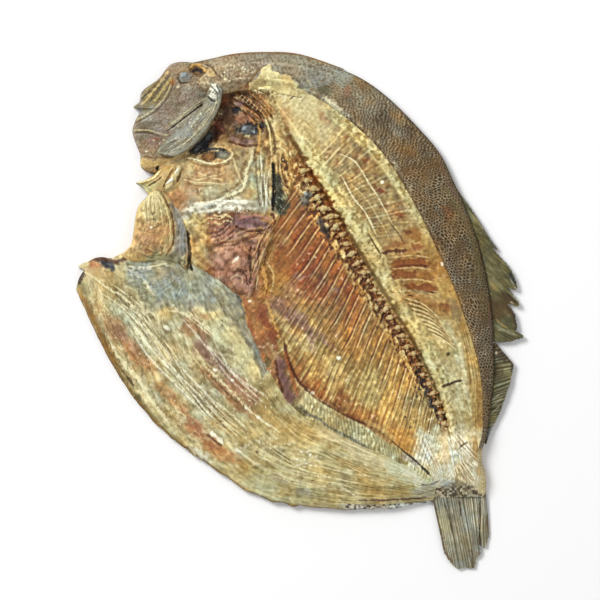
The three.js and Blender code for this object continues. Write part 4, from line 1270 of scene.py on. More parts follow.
@dataclass
class BellyFlap(Form):
    """The belly wall, folded out to the side: long fibres, red bands and a grey membrane."""

    name: ClassVar[str] = "belly_flap"
    relief: ClassVar[Triple] = (1.4, 0.35, 0.26)
    columns: int = 232
    rows: int = 416
    foot: float = 0.4
    fibre_root: float = 62.0

    under: ClassVar[Marks] = (
        Spot(KHAKI, -91, 12, 13, 7, -38, 0.6), Spot(OLIVE, -89, 12, 9, 4, -38, 0.4),
        Spot(KHAKI, -70, 3, 11, 5, -30, 0.6), Spot(LILAC, -62, 16, 13, 10, 20, 0.85, -0.4),
        Spot(GREY, -49, 12, 20, 12, -35, 0.85, -0.4), Spot(LILAC, -31, -3, 17, 5, -60, 0.7),
        Stroke(PALE, 9.5, (-55, 1, -43, -6, -34, -16, -27, -27, -20, -36), 0.9, 0.3, 0.7),
        Stroke(BUTTER, 8.5, (-51, 0, -42, -6, -34, -16, -27, -27, -21, -36), 0.85, 0.2, 1.1),
        Stroke(MINT, 9, (-96, 4, -86, -6, -77, -17, -68, -29, -57, -43), 0.7, 0.2, 0.8),
        Stroke(TAN, 8, (-104, 3, -99, -1, -94, -6), 0.6, 0, 0.7),
        Stroke(SALMON, 7.5, (-96, -4, -91, -9, -86, -15.5, -80, -23.5, -73, -31), 0.75, 0.3, 0.8),
        Stroke(ROSE, 4, (-93, -8, -87, -15, -81, -22), 0.5, 0, 1),
        Stroke(DRAB, 4.5, (-107, 6, -101, -8, -93, -25, -81, -43), 0.65, 0, 0.9),
        Stroke(OLIVE, 5, (-109, 8, -103, -6, -95, -22, -86, -37, -77, -50), 0.6, 0, 0.8),
        Stroke(STRAW, 7, (-74, -33, -68, -39, -60, -48), 0.6, 0.2, 0.9),
        Stroke(SALMON, 5, (-72, -35.5, -64, -44, -57, -52), 0.6, 0, 1),
        Stroke(SALMON, 7.5, (-60, -49, -53, -57, -46, -65, -38, -71, -28, -76.5), 0.85, 0.3, 0.8),
        Stroke(ROSE, 4.5, (-56, -54, -49, -62, -42, -68), 0.6, 0, 1),
        Stroke(BRICK, 2.5, (-53, -58.5, -46, -65.5, -38, -70.5), 0.45, 0, 1.2),
        Spot(GOLD, -28.5, -76.5, 4, 1.8, -35, 0.6),
        Stroke(STRAW, 3.4, (-48, -53, -40, -57, -32, -62), 0.7, 0.1, 0.9),
        Stroke(BRICK, 7, (-58, -4, -52, -8.5, -46, -14), 0.65, 0.1, 1.1),
        Stroke(MAUVE, 8, (-53, -15, -46, -21, -40, -27, -34, -32), 0.85, 0, 0.8),
        Stroke(PLUM, 4.5, (-50, -17, -44, -23, -37, -29), 0.5, 0, 1),
        Stroke(ROSE, 7.5, (-37, -31, -30, -37, -25, -42, -21, -46), 0.85, 0.1, 0.9),
        Stroke(BRICK, 5, (-35, -33, -28, -39, -22, -45), 0.45, 0, 1.1),
        Stroke(SALMON, 6, (-50, -27, -42, -35.5, -33, -44, -22, -54), 0.75, 0, 0.9),
        Stroke(BRICK, 3.2, (-45, -33, -37, -41, -28, -50), 0.5, 0, 1.1),
        Spot(SALMON, -47, -3, 2.8, 1.4, -30, 0.6),
        Stroke(STRAW, 9, (-22, -47, -12, -53, -1, -58, 10, -64), 0.6, 0, 0.9),
        Stroke(KHAKI, 9, (-18, -50, -6, -57, 6, -62), 0.5, 0, 0.9), Spot(OLIVE, 3, -52, 6, 3, -35, 0.5),
        Spot(DRAB, -12, -70, 9, 3, -25, 0.45), Spot(OLIVE, -6, -76, 8, 3, -25, 0.4),
        Spot(MAUVE, -11, -83.5, 5, 2, -20, 0.4), Spot(DRAB, 23, -85, 4, 2.6, -60, 0.45),
        Stroke(STRAW, 3, (17, -73, 24, -77, 32, -81), 0.6, 0, 1.2),
        Stroke(KHAKI, 3.4, (28, -90.5, 42, -90.5, 56, -90), 0.6, 0, 1),
        Stroke(OLIVE, 1.6, (30, -88.3, 45, -88.5, 58, -87.5), 0.5, -0.2, 1),
        Stroke(PALE, 7, (9, -56.5, 22, -65, 36, -72.5, 52, -79, 64, -84), 0.9, 0.4, 0.8),
        Spot(MINT, -68, -57, 8, 3.5, -45, 0.6), Spot(MINT, -44, -76, 10, 3, -38, 0.7),
        Spot(MINT, -19, -87, 10, 4, -25, 0.7), Spot(LILAC, 1, -90.5, 4.5, 1.8, -10, 0.6),
        Spot(PALE, 6, -76, 8, 3.5, -35, 0.5),
    )
    marks: ClassVar[Marks] = (
        Stroke(PALE, 1.7, (-96, -13, -92, -21, -86, -29, -80, -36, -74, -45, -65, -57), 0.8, 0.4, 1.4),
        # painted shadow of the pale fold above
        Stroke(SHADE, 0.7, (-97.5, -15, -93.5, -24, -88, -31, -82, -39), 0.6, -0.3, 1.4),
        Stroke(PALE, 1.2, (-104.4, 17.4, -95.4, 11, -89.6, 8, -82.3, 1, -76.5, -8.8, -71.6, -13.7), 0.8,
            0.5, 1.4),
        *strands(PALE, 0.6, (-97, 12, -89, 5.5, -81, -1.5, -73.5, -12, -65, -23, -57, -34), 4, 1.9),
        # painted shadows of the pale strands above
        *strands(BARK, 0.5, (-93, 9, -84, 1, -76, -8.8, -68, -20, -60, -31), 3, 2, 0.5, -0.4),
        *strands(PALE, 0.6, (-66.5, 1, -58.3, -0.2, -50.6, -5.5, -42, -13), 3, 1.3),
        *strands(CREAM, 0.6, (-62, -9.7, -55.3, -15.6, -51.2, -22.7, -45, -31), 2, 1.6),
        Stroke(PALE, 1.1, (-49, -25.5, -40, -34.5, -30, -44.5, -21, -53, -11, -60), 0.85, 0.5, 1.6),
        # painted shadow of the pale fold above
        Stroke(BARK, 0.6, (-49.5, -27, -41, -36.3, -31, -46), 0.6, -0.3, 1.4),
        *strands(PALE, 0.5, (-52, -38, -45, -46, -37, -54, -28, -62), 6, 1.5),
        # painted shadows of the pale strands above
        *strands(BARK, 0.4, (-52, -41, -44, -49, -35, -57), 5, 1.6, 0.5, -0.3),
        *strands(PALE, 0.5, (-66, -26, -58, -35, -49, -45), 4, 1.7),
        # painted shadows of the pale strands above
        *strands(SEPIA, 0.4, (-66, -24, -58, -33, -50, -42), 3, 1.7, 0.5, -0.3),
        Stroke(WHITE, 1.9, (-45, -60.5, -41.5, -63, -38, -66.5), 0.85, 0.4, 1.2),
        # painted shadow of the white fold above
        Stroke(SHADE, 0.9, (-46.5, -61.5, -43, -64.5, -38.5, -68), 0.6, -0.4, 1.2),
        Spot(WHITE, -30.5, -70, 2.6, 0.9, -35, 0.7, 0.3),
        *strands(CREAM, 0.5, (-15, -47.8, -8, -54, 0, -60.5, 9, -66), 3, 2.2, 0.5),
        *flecks(WHITE, -28, -66, 9, 3, 16, 0.5), *flecks(WHITE, 4, -74, 8, 5, 26, 0.6),
        *flecks(PALE, -14, -66, 10, 3, 18, 0.6), *flecks(SHADE, 6, -84, 12, 4, 16, 0.4, -0.2),
        *strands(PALE, 0.6, (-13.2, -68.9, -3, -75.3, 7, -79.5), 2, 1.6, 0.6),
        *strands(CREAM, 0.5, (12, -70, 23, -75, 36, -81), 3, 1.6, 0.5),
        *strands(OCHRE, 0.4, (14, -71, 22, -75.5, 33, -80.5), 2, 1.6, 0.4, -0.2),
        Stroke(PALE, 1, (19, -86, 23, -89.5, 28, -92), 0.8, 0.3, 1.4),
        Stroke(SHADE, 0.5, (-21.8, -41.9, -20.9, -40.1, -18.8, -38.1)), Spot(SHADE, -21.5, -70.3, 0.8, 0.6),
        Stroke(PLUM, 0.9, (28, -94.6, 42, -94.6, 56, -94, 66, -92.8), 0.8, -0.3, 1),
        Spot(WHITE, -66.5, -8.5, 1.9, 1.2, -20, 0.85, 0.4), Spot(WHITE, -42, -29.5, 1.3, 0.9, 0, 0.9, 0.3),
        Spot(WHITE, -33.5, -34.5, 1.1, 0.8, 0, 0.9, 0.3), Spot(WHITE, -27, -48.5, 1.2, 0.8, -40, 0.9, 0.3),
        Spot(WHITE, -21, -53.2, 1.2, 0.8, -30, 0.9, 0.3),
        # pale and blue streaks on the film from here to the blue stroke: painted highlight
        Stroke(PALE, 2.2, (-86.6, 21.6, -79, 16.5, -74, 9.8), 0.7, 0.7, 1),
        Spot(PALE, -74.5, 10.5, 3.4, 1.6, -55, 0.75, 0.3),
        Stroke(BLUE, 1.6, (-82, 21, -76, 15, -73, 10), 0.6, 0.2, 1),
        Stroke(PALE, 0.8, (-88, 22.5, -76, 22, -66, 24), 0.7, 0.4),
        # dark slit: painted shade in the slit
        Stroke(SHADE, 1.3, (-55.6, 28, -55, 23.5, -53.6, 20), 0.9, -0.8),
        # ink and slate lines along the flap's edge by the body: painted shadow; the blue spot after them:
        # painted highlight
        Stroke(INK, 1, (-38.5, 21.5, -28.5, 2.5, -21.8, -16, -14, -27), 0.75, -0.3, 1.4),
        Stroke(SLATE, 2.5, (-37, 19, -29, 3, -23, -12), 0.5, 0, 1.4), Spot(BLUE, -80, 19, 6, 5, -20, 0.5),
        Stroke(WHITE, 1.2, (-84, 22, -79, 21.3, -74, 21.5), 0.6, 0.4, 1.2),
        Spot(VIOLET, -99.5, 26, 4.5, 1.8, 2, 0.8, 0.3),
        Stroke(UMBER, 2.2, (-104, 25.5, -99, 25.6, -93, 24.5, -88, 26.2, -83.5, 29), 0.9, 0, 0.8),
        Spot(INK, -96, 23, 4.4, 1.9, -20, 0.95, 0.2, 0.5), Spot(INK, -93.5, 21, 2, 1.4, 60, 0.85),
        Spot(SLATE, -95, 23.4, 2, 0.7, -20, 0.5, 0.2),
        Spot(SALMON, -103.5, 23.2, 4.2, 1.9, -10, 0.9, 0.4, 0.5),
        Spot(AMBER, -104.5, 23.8, 2, 0.8, 0, 0.5, 0.2),
        Stroke(CREAM, 2.6, (-111.5, 22.2, -108.7, 23, -106, 23.5), 0.85, 0.2, 0.4, 0.02),
        Stroke(TAN, 3, (-107.5, 20.5, -101, 19.8, -94, 18), 0.6, 0.3),
        Stroke(SHADE, 2.4, (-108.3, 19.4, -109.8, 16.8, -110.8, 13.5), 0.85, -0.2, 0.9, 0.03),
        Stroke(GOLD, 2, (-110.3, 12.5, -110, 9, -109, 5.5), 0.8, 0.2),
        Stroke(CREAM, 1.4, (-108, 19.5, -103, 17, -97, 14.5), 0.6, 0.4),
        Spot(MOSS, -80.6, -43, 2.6, 1.2, -45, 0.7),
        Stroke(OCHRE, 1.3, (-111.5, 10, -105, -5.5, -97.8, -19, -90, -34), 0.75, 0.2, 1.2),
        Spot(BUTTER, -32.5, -14.5, 4.5, 9, 30, 0.5, 0.2, 1.2),
        Spot(WHITE, -50, -72, 6, 2.6, -35, 0.6, 0.3, 1.2),
        Stroke(OCHRE, 2.6, (-109, 8, -103, -5, -97.5, -16, -90, -30), 0.7),
        Spot(PALE, -75, -9.5, 6, 9, 35, 0.45, 0, 1.2),
        *strands(WHITE, 0.8, (-84, -4, -72, -20, -58, -36, -40, -54), 4, 2.6, 0.6),
        *strands(WHITE, 0.8, (-58, -2, -46, -16, -33, -32, -18, -46), 3, 2.2, 0.55),
        *strands(PALE, 0.8, (-30, -66, -8, -77, 14, -84, 34, -88), 4, 3.2, 0.5, 0.3),
        Stroke(PALE, 7, (16, -62, 30, -70, 44, -77), 0.5, 0.2, 1.2),
        Spot(OLIVE, -107.5, 10.5, 2.4, 5, 30, 0.4), *HEEL_MARKS,
    )

    def plan(self, over: Field, along: Field) -> Sheet:
        """Lays the flap from its edge by the body to its free outer edge."""
        inner, outer = FLAP_IN.at(along), FLAP_OUT.at(along)
        place = mix(inner, outer, over[:, None])
        ends = mix(0.35, 1, smooth(0, 0.12, along)) * mix(1, 0.45, smooth(0.85, 1, along))
        crown = np.sin(np.pi * mix(0.12, 0.92, over)) ** 0.7
        edge = np.sqrt(np.clip(smooth(-0.01, 0.05, 1 - over), 0, 1))
        height = mix(2.0, 9.0 * crown, np.clip(edge, 0.15, 1)) * ends + 0.4
        rim = FLAP_OUT.at(np.linspace(0, 1, 240))
        gap = np.full(len(over), 1e9)
        for spot in rim:
            gap = np.minimum(gap, np.hypot(place[:, 0] - spot[0], place[:, 1] - spot[1]))
        tucked = smooth(0.35, 0.6, along)
        off = mix(gap, (1 - over) * self.fibre_root, tucked)
        run = FLAP_OUT.length(along) + mix(place[:, 0] * 0.7, 0 * over, tucked)
        ragged = rough(run / 5.0, over * 0, 3) - 0.5
        place[:, 1] += 1.3 * ragged * smooth(0.97, 1.0, over) * smooth(0.0, 0.04, along)
        # the tip and the brow beside it
        straight = mix(FLAP_IN.at(np.zeros(1)), FLAP_OUT.at(np.zeros(1)), over[:, None])
        place += (FLAP_TIP.at(over) - straight) * smooth(0.07, 0, along)[:, None]
        brow = FLAP_BROW.at(np.linspace(0, 1, 60))
        place[:, 1] += np.interp(place[:, 0], brow[:, 0], brow[:, 1]) * smooth(0.12, 0, over)
        return Sheet(place[:, 0], place[:, 1], height, run, off)

    def paint(self, sheet: Sheet, over: Field, along: Field) -> None:
        """Fawn flesh with pale and olive drifts, red bands, and many fine cream fibres over them."""
        wash = sheet.wash
        run, off, x, y = sheet.along, sheet.across, sheet.x, sheet.y
        wash(1, PALE)
        # broad drifts
        drift = rough(run / 14, off / 4)
        wash(smooth(0.4, 0.7, drift) * 0.6, MINT, 0.3)
        wash(smooth(0.45, 0.15, drift) * 0.6, FAWN)
        wash(cloud(0.5, 0.8, run / 12 + 6, off / 3) * 0.5, KHAKI)
        wash(cloud(0.6, 0.85, run / 10 + 60, off / 3) * 0.45, OLIVE)
        folds = rough(run / 20 + 4, off / 4, 3)
        sheet.z += 0.9 * (folds - 0.5) * smooth(0, 0.1, 1 - over)
        # darker in the low parts of the folds, lighter on their crests: painted shade and painted highlight
        sheet.shade(0.2 * (folds - 0.5))
        calm = mix(1, 0.1, smooth(0.42, 0.58, along))
        low = smooth(0.46, 0.6, along)
        wash(low * cloud(0.42, 0.7, x / 7 + 30, y / 4 + 3) * 0.6, OLIVE)
        wash(low * cloud(0.4, 0.7, x / 9 + 15, y / 5 + 20) * 0.6, KHAKI)
        wash(low * cloud(0.55, 0.75, x / 6 + 60, y / 3.5) * 0.6, BUTTER, 0.3)
        wash(smooth(0.45, 0.65, along) * cloud(0.4, 0.7, x / 8 + 9, y / 5) * 0.5, MINT, 0.2)
        # fibres, each with a thin line of painted shade beside it
        bend = off + 2.4 * (soft(run / 6, off / 5) - 0.5)
        wash(threads(run, bend, 22, 4.0, 3) * 0.3 * calm, PALE, 0.4)
        for k, (long, wide) in enumerate(((16, 1.8), (14, 3.4), (20, 4.6))):
            fine = threads(run + 60 * k, bend + 9 * k, long, wide, 9)
            side = threads(run + 60 * k, bend + 9 * k + 0.45, long, wide, 9)
            share = cloud(0.4, 0.75, run / 11 + 50 * k, off / 6) * calm
            # sepia just beside each pale fibre: painted shade
            wash(side * share * 0.5, SEPIA, -0.2)
            wash(fine * share * 0.9, PALE, 0.3)
            if not k:
                sheet.lay(self.under)
        crack = threads(run + 20, bend + 31, 10, 2.2, 10)
        wash(crack * 0.35 * calm, BARK, -0.3)
        # grey film by the neck
        edge = FILM_EDGE.at(np.linspace(0, 1, 60))
        film = y - np.interp(x, edge[:, 0], edge[:, 1], left=40) + 5 * (rough(x / 5 + 40, y / 5) - 0.5)
        film = smooth(-2.5, 2.0, film) * smooth(-89, -85, x)
        wash(film * 0.9, LICHEN)
        wash(film * cloud(0.35, 0.75, x / 9 + 70, y / 9) * 0.6, LILAC)
        wash(film * cloud(0.55, 0.85, x / 6 + 20, y / 6) * 0.5, BLUE)
        wash(film * cloud(0.5, 0.8, x / 5 + 50, y / 5) * 0.5, LICHEN)
        sheet.z -= 0.8 * film
        turn, far = np.arctan2(y - 21, x + 55), np.hypot(x + 55, y - 21)
        wash(film * threads(far, turn * 16, 12, 2.2, 3) * 0.4, ASH, 0.6)
        wash(film * threads(far + 30, turn * 16 + 9, 9, 1.6, 6) * 0.35, SLATE, -0.3)
        wash(mix(0.1, 0.32, low) * (1 - film), KHAKI)
        # lumps with painted highlight on their tops and painted shade between, rim and skin
        lumps = rough(x / 3.2, y / 3.2, 3)
        sheet.z += 0.3 * (lumps - 0.5)
        # pale on the lump tops and olive in the low parts: painted highlight and painted shade
        wash(smooth(0.6, 0.8, lumps) * 0.25, PALE, 0.1)
        wash(smooth(0.35, 0.15, lumps) * 0.25, OLIVE)
        rim = smooth(0.955, 0.985, over) * smooth(0.5, 0.4, along)
        wash(rim * 0.5, OLIVE)
        wash(smooth(0.975, 0.99, over) * 0.45, OCHRE)
        skin = smooth(0.90, 0.93, over + 0.03 * (lumps - 0.5)) * smooth(0.77, 0.8, along)
        scales = rough(x / 1.1, y / 1.1, 2)
        wash(skin * 0.9, LILAC)
        wash(skin * smooth(0.45, 0.25, scales) * 0.8, SHADE, -0.3)
        wash(skin * smooth(0.5, 0.7, scales) * 0.8, WHITE, 0.1)
        sheet.across = off * mix(1, 0.28, smooth(0.45, 0.65, along))
        sheet.along = run * mix(1, 1.7, smooth(0.45, 0.65, along))
        sheet.mottle(10, 0.1, 0.1)
        sheet.fleck(0.14)


@dataclass
class Neck(Form):
    """The neck: gill hollow, cheek bone plate, dark meat and the root of the flap."""

    name: ClassVar[str] = "neck"
    columns: int = 210
    rows: int = 340
    foot: float = 0.8

    under: ClassVar[Marks] = (
        Spot(SEPIA, -31, 97, 18, 15, 0, 0.9, -2.4, 0.4), Spot(UMBER, -37, 102, 7, 9, 20, 0.7, -0.4),
        # the shade spot at (-48, 86): painted shadow under the gill plate's lower edge
        Spot(SHADE, -48, 86, 9, 6, 35, 0.9, -1, 0.5), Spot(STRAW, -7, 90, 6, 22, 15, 0.8, 1, 0.4),
        Spot(CREAM, -20, 113, 9, 4, -5, 0.8, 1), Spot(BONE, -36, 63.5, 25, 13.5, -4, 0.95, 0.8, 0.3),
        Spot(SALMON, -44, 68.5, 11, 5, 0, 0.5), Spot(ROSE, -55, 60, 6, 5, 0, 0.3),
        Spot(LICHEN, -20, 65, 5.5, 14, 0, 0.8, 0.3), Spot(HONEY, -6, 70, 5.5, 14, 5, 0.8, 0.4),
        Spot(PINE, -9.5, 53.5, 7, 5, -55, 0.9, -0.7, 0.4), Spot(ROSE, -32, 38, 16, 14, 10, 0.85, 0, 0.4),
        Spot(ROSE, -31, 18, 16, 13, 0, 0.8, 0, 0.4), Spot(STRAW, -52, 38, 6.5, 15, 5, 0.9, 0, 0.4),
        Spot(HONEY, -15, 36, 6, 15, 25, 0.8, 0.2),
    )
    marks: ClassVar[Marks] = (
        Spot(RUST, -37.5, 106, 5, 4, 10, 0.6, -0.3), Spot(MAROON, -41, 91.5, 3, 5, 0, 0.8, -0.5),
        # ink spots: painted shadow under the gill plate's lower edge, in the gill hollow
        Spot(INK, -49, 84.5, 6, 4, 40, 0.9, -0.8), Spot(INK, -50.5, 81, 5, 2.4, 25, 0.9, -0.5),
        Spot(SLATE, -51, 81.5, 2.6, 1, 35, 0.7, 0.3), Spot(SLATE, -46, 87, 2.2, 1.2, 50, 0.6, 0.3),
        *strands(SALMON, 1, (-33, 109, -27, 105.5, -20, 100, -15.5, 94), 5, 2.6, 0.7, 0.8),
        # umber strands between the salmon ridges: painted shade
        *strands(UMBER, 0.9, (-33, 107.5, -27, 104, -20.5, 98.5, -16, 92.5), 4, 2.6, 0.7, -0.7),
        *(Stroke(PALE, 0.6, (-30.5 + 1.7 * k, 106.5 - 1.2 * k, -28.8 + 1.6 * k, 108.3 - 1.25 * k), 0.7,
            0.4) for k in range(8)),
        Spot(INK, -32, 100.5, 2.2, 1.8, 20, 0.85, -0.5), Spot(VIOLET, -30, 103.5, 2.5, 1.6, 0, 0.6, 0.3),
        Spot(ROSE, -28.5, 96, 5, 3, -10, 0.5, 0.4), Spot(INK, -25.5, 91.2, 6.5, 3.4, -5, 0.85, -0.6),
        Spot(INK, -18.5, 93, 3.2, 1.6, 10, 0.85, -0.3), Spot(SLATE, -26.5, 90.5, 4, 2.6, 15, 0.85, 0.9),
        Spot(BLUE, -28, 91.5, 1.6, 0.9, 30, 0.8, 0.4), Spot(BLUE, -23.5, 89.8, 1.5, 0.9, -20, 0.8, 0.3),
        Spot(CREAM, -26.5, 87.3, 1.6, 0.9, 0, 0.8, 0.3),
        Stroke(VIOLET, 2, (-35, 87, -29, 84.6, -22, 85), 0.6, 0.4),
        Stroke(MAROON, 1.2, (-36, 85, -28, 82.7, -20, 83), 0.7, -0.5),
        Stroke(CREAM, 1, (-18, 98, -15.5, 91, -14.5, 84, -14, 78), 0.85, 0.9),
        # umber beside the cream line above: painted shadow
        Stroke(UMBER, 1.2, (-16.5, 97, -13.8, 90, -12.5, 84, -12.5, 78), 0.75, -0.7),
        Stroke(GOLD, 1.2, (-21, 95, -20, 88, -20.5, 82, -22, 78), 0.7, 0.6),
        Stroke(RUST, 3.4, (-18, 104, -13, 98, -8, 90, -4, 84), 0.5, -0.2, 1.6),
        Spot(CREAM, -10, 99, 4, 8, 20, 0.6), Stroke(CREAM, 1, (-12.5, 88, -8.5, 85, -6.5, 82.5), 0.8, 0.6),
        Stroke(CREAM, 1, (-12, 82.5, -8, 80.5, -5.5, 77), 0.7, 0.6),
        Stroke(UMBER, 1.5, (-9.5, 76, -6.5, 73.8, -7.5, 70), 0.8, -0.7),
        *strands(CREAM, 0.7, (-11.5, 79, -10.5, 70, -8.5, 62, -3.5, 55), 4, 2.1, 0.65, 0.5),
        # umber strands beside the cream strands above: painted shadow
        *strands(UMBER, 0.7, (-11, 74, -9.5, 66, -6, 60), 3, 2.3, 0.55, -0.4),
        *strands(PALE, 0.8, (-32, 112.5, -25, 112.5, -17, 110), 3, 1.4, 0.8, 0.5),
        Spot(SEPIA, -45.5, 77.6, 4.6, 2.9, 5, 0.95, -1.6, 0.2),
        Spot(AMBER, -46, 76.8, 3.2, 1.4, 5, 0.7, 0, 0.3),
        Spot(SLATE, -38.6, 78.2, 4.2, 2.5, 0, 0.85, -1.3, 0.2),
        Spot(LICHEN, -37.6, 77.6, 2.6, 1.2, 0, 0.6, 0, 0.3),
        Stroke(INK, 1.2, (-50, 78.5, -46, 80.6, -41, 81, -36.5, 80.3), 0.85, -0.6),
        Stroke(INK, 1, (-42.6, 80, -42, 77.5, -43, 75.5), 0.5, -0.3),
        Stroke(PALE, 1.1, (-57.5, 76.5, -52, 75.8, -47, 74, -40.5, 73.8, -35, 76, -33.5, 79.5), 0.7, 0.6,
            0.9),
        Stroke(OCHRE, 1.2, (-55, 74.5, -47, 72.2, -40, 72.2, -34.5, 74), 0.5, -0.3),
        Stroke(PALE, 1.5, (-23, 81, -24.5, 75, -26.8, 69.5, -27.3, 64, -29.5, 60.2, -36, 57.3, -44, 54.5),
            0.6, 0.8, 0.9),
        # ochre beside the pale S-shaped ridge above: painted shade
        Stroke(OCHRE, 1.5, (-26.3, 76, -29, 70, -29.8, 65, -32.5, 61.8, -39, 59), 0.45, -0.4, 0.5),
        Stroke(CREAM, 1, (-33.5, 77.5, -32, 72, -30.5, 68, -28.5, 63.5), 0.6, 0.5, 0.5),
        *strands(CREAM, 0.8, (-58, 67.5, -52, 66, -45, 66.5, -38, 65), 3, 2.2, 0.6, 0.35),
        *strands(TAN, 0.8, (-57, 66.3, -51, 65, -44, 65.5), 3, 2.2, 0.5, -0.3),
        Stroke(ASH, 5.5, (-60, 48.5, -52, 50.5, -43, 52, -33, 53.5, -22, 53, -16, 52), 0.85, 0.4, 0.9,
            0.05),
        Stroke(WHITE, 2.6, (-59, 50, -51, 52.5, -42, 53.8, -33, 55, -24, 54.5), 0.7, 0.5, 1.3),
        Stroke(WHITE, 1.6, (-52, 48.7, -43, 50.5, -33, 51.2, -22, 51), 0.6, 0.3, 1.2),
        Spot(BLUE, -44.5, 52.2, 3.4, 0.9, 10, 0.45, -0.2), Spot(LILAC, -53.5, 55, 3.5, 2, 30, 0.5),
        Spot(VIOLET, -45, 48.3, 3, 1, 10, 0.3),
        *strands(WHITE, 0.8, (-18.3, 79, -17.8, 70, -17.3, 60, -17, 52), 3, 1.7, 0.7, 0.5),
        *strands(DRAB, 0.8, (-19.4, 77, -18.9, 68, -18.5, 58, -18, 52), 4, 1.7, 0.55, -0.4),
        Stroke(INK, 1.5, (-13.4, 74, -13.1, 66, -13.2, 58, -13.4, 50), 0.9, -1, 0.5, 0.05),
        Stroke(PINE, 3.6, (-11.5, 69, -11, 61, -9.5, 54, -5.5, 48), 0.85, -0.5, 0.8),
        Spot(PINE, -7, 51, 5, 3.6, -50, 0.85, -0.3, 0.5), *flecks(ASH, -8.5, 53, 6, 3, 16, 0.4, 0.3, -50),
        Spot(VIOLET, -24, 43.8, 9, 4.2, -6, 0.75, 0.2, 1.1), Spot(PLUM, -22, 44.6, 4.5, 1.8, -15, 0.6, 0.2),
        Stroke(ROSE, 1, (-31.5, 45.2, -26, 47.3, -20, 47.3, -15, 45), 0.7, 0.4),
        Stroke(MAROON, 0.9, (-32.5, 42.5, -27, 40.3, -20, 39.8, -14.5, 42), 0.8, -0.6, 1.2),
        Stroke(MAROON, 1.1, (-14.3, 49.5, -12.6, 44, -15, 38.5), 0.8, -0.5, 1.2),
        Spot(BRICK, -36, 47.5, 7, 1.6, 10, 0.5, -0.2),
        *strands(CREAM, 0.7, (-47, 45.5, -43.5, 46.8, -40, 45.3, -36.5, 46.6, -33.5, 45.5), 3, 1.4, 0.85,
            0.7),
        *strands(PLUM, 1, (-44, 35.5, -38.5, 37.5, -33.5, 41.5), 4, 2, 0.7, -0.5),
        *strands(STRAW, 0.6, (-41, 33.5, -33, 35, -25, 38, -17, 39), 4, 1.7, 0.5),
        *strands(BRICK, 0.8, (-40, 32.5, -30, 34, -20, 37.5), 3, 2, 0.5, -0.4),
        Spot(PINK, -35, 27.5, 8, 6.5, -15, 0.55, 0.9, 0.3),
        # white spot on the pink lump: painted highlight
        Spot(WHITE, -31.5, 26.3, 1.5, 0.8, 30, 0.85, 0.3), Spot(PALE, -33.5, 24.5, 1.5, 0.7, 60, 0.7, 0.2),
        Spot(MAUVE, -29, 15.5, 6.5, 6, 20, 0.6, 0.5),
        Stroke(MAROON, 0.7, (-33.5, 19.5, -30, 20, -27, 17.5, -26.5, 13), 0.6, -0.4),
        Stroke(CREAM, 0.6, (-35, 16, -31.5, 17.8, -28.8, 16.3, -29, 12.8), 0.5, 0.4, 1.2),
        Stroke(PINK, 0.9, (-35.5, 22, -31, 22.3, -26, 20), 0.7, 0.5),
        Stroke(UMBER, 1, (-24.3, 33, -25.2, 26, -24.5, 19, -25.5, 12), 0.7, -0.7, 1.4),
        Stroke(UMBER, 0.8, (-20, 33, -20.8, 27, -20.5, 20), 0.6, -0.5, 1.4),
        *strands(STRAW, 0.7, (-8, 47, -15, 37, -20, 27, -22.5, 16), 4, 2.1, 0.55, 0.5),
        *strands(BRICK, 0.8, (-9, 44, -15.5, 34, -20.5, 24), 4, 2.2, 0.6, -0.5),
        Stroke(KHAKI, 1, (-53, 46.5, -49.5, 44, -46, 46), 0.7, 0.6),
        Stroke(AMBER, 1.8, (-46, 42, -45.5, 34, -44, 28), 0.5, -0.3),
        Stroke(SHADE, 1.5, (-56.3, 40, -55.3, 32, -55, 24), 0.8, -1),
        Spot(SALMON, -62, 54.5, 5, 6, 60, 0.5), Spot(WHITE, -35, 53, 6, 2.6, -10, 0.75, 0.2, 1.2),
        Spot(TAN, -35, 68, 6, 4, 0, 0.45, 0, 1.2), Spot(GOLD, -14, 27, 4, 12, -25, 0.4, 0, 1.2),
        *SHOULDER_MARKS,
    )

    def plan(self, over: Field, along: Field) -> Sheet:
        """Lays the neck from the head down to the root of the flap."""
        left, right = NECK_LEFT.at(along), NECK_RIGHT.at(along)
        place = mix(left, right, over[:, None])
        wide = np.hypot(*(right - left).T)
        side = smooth(0, mix(0.06, 0.22, smooth(0.4, 0.2, along)), 1 - over)
        ends = smooth(0, 0.06, along) * smooth(0, 0.05, 1 - along) * side
        height = mix(3.5, 7.6, ends)
        return Sheet(place[:, 0], place[:, 1], height, NECK_RIGHT.length(along), wide * over)

    def paint(self, sheet: Sheet, over: Field, along: Field) -> None:
        """Mixed brown and tan tissue under the marks."""
        wash = sheet.wash
        x, y = sheet.x, sheet.y
        wash(1, TAN)
        wash(rough(x / 5, y / 5) * 0.6, STRAW)
        sheet.lay(self.under)
        lumps = rough(x / 4, y / 4, 4)
        bone = smooth(47, 52, y) * smooth(78, 73, y) * smooth(-14, -17, x)
        sheet.z += mix(1.4, 0.5, bone) * (lumps - 0.5)
        # cream on the lump tops and sepia between them: painted highlight and painted shade
        wash(smooth(0.6, 0.85, lumps) * mix(0.35, 0.15, bone), CREAM)
        wash(smooth(0.4, 0.15, lumps) * mix(0.3, 0.12, bone), SEPIA)
        # dark meat
        meat = smooth(49, 45, y) * smooth(-48, -44, x)
        swirl = 5 * rough(x / 9, y / 9)
        wash(threads(y + 0.4 * x + swirl, x + swirl, 7, 3.0, 5) * 0.45 * meat, MAUVE, 0.4)
        wash(threads(y + 30 + swirl, x + 9 + swirl, 7, 2.8, 6) * 0.4 * meat, UMBER, -0.4)
        sheet.mottle(5, 0.14, 0.16)
        sheet.fleck(0.25)


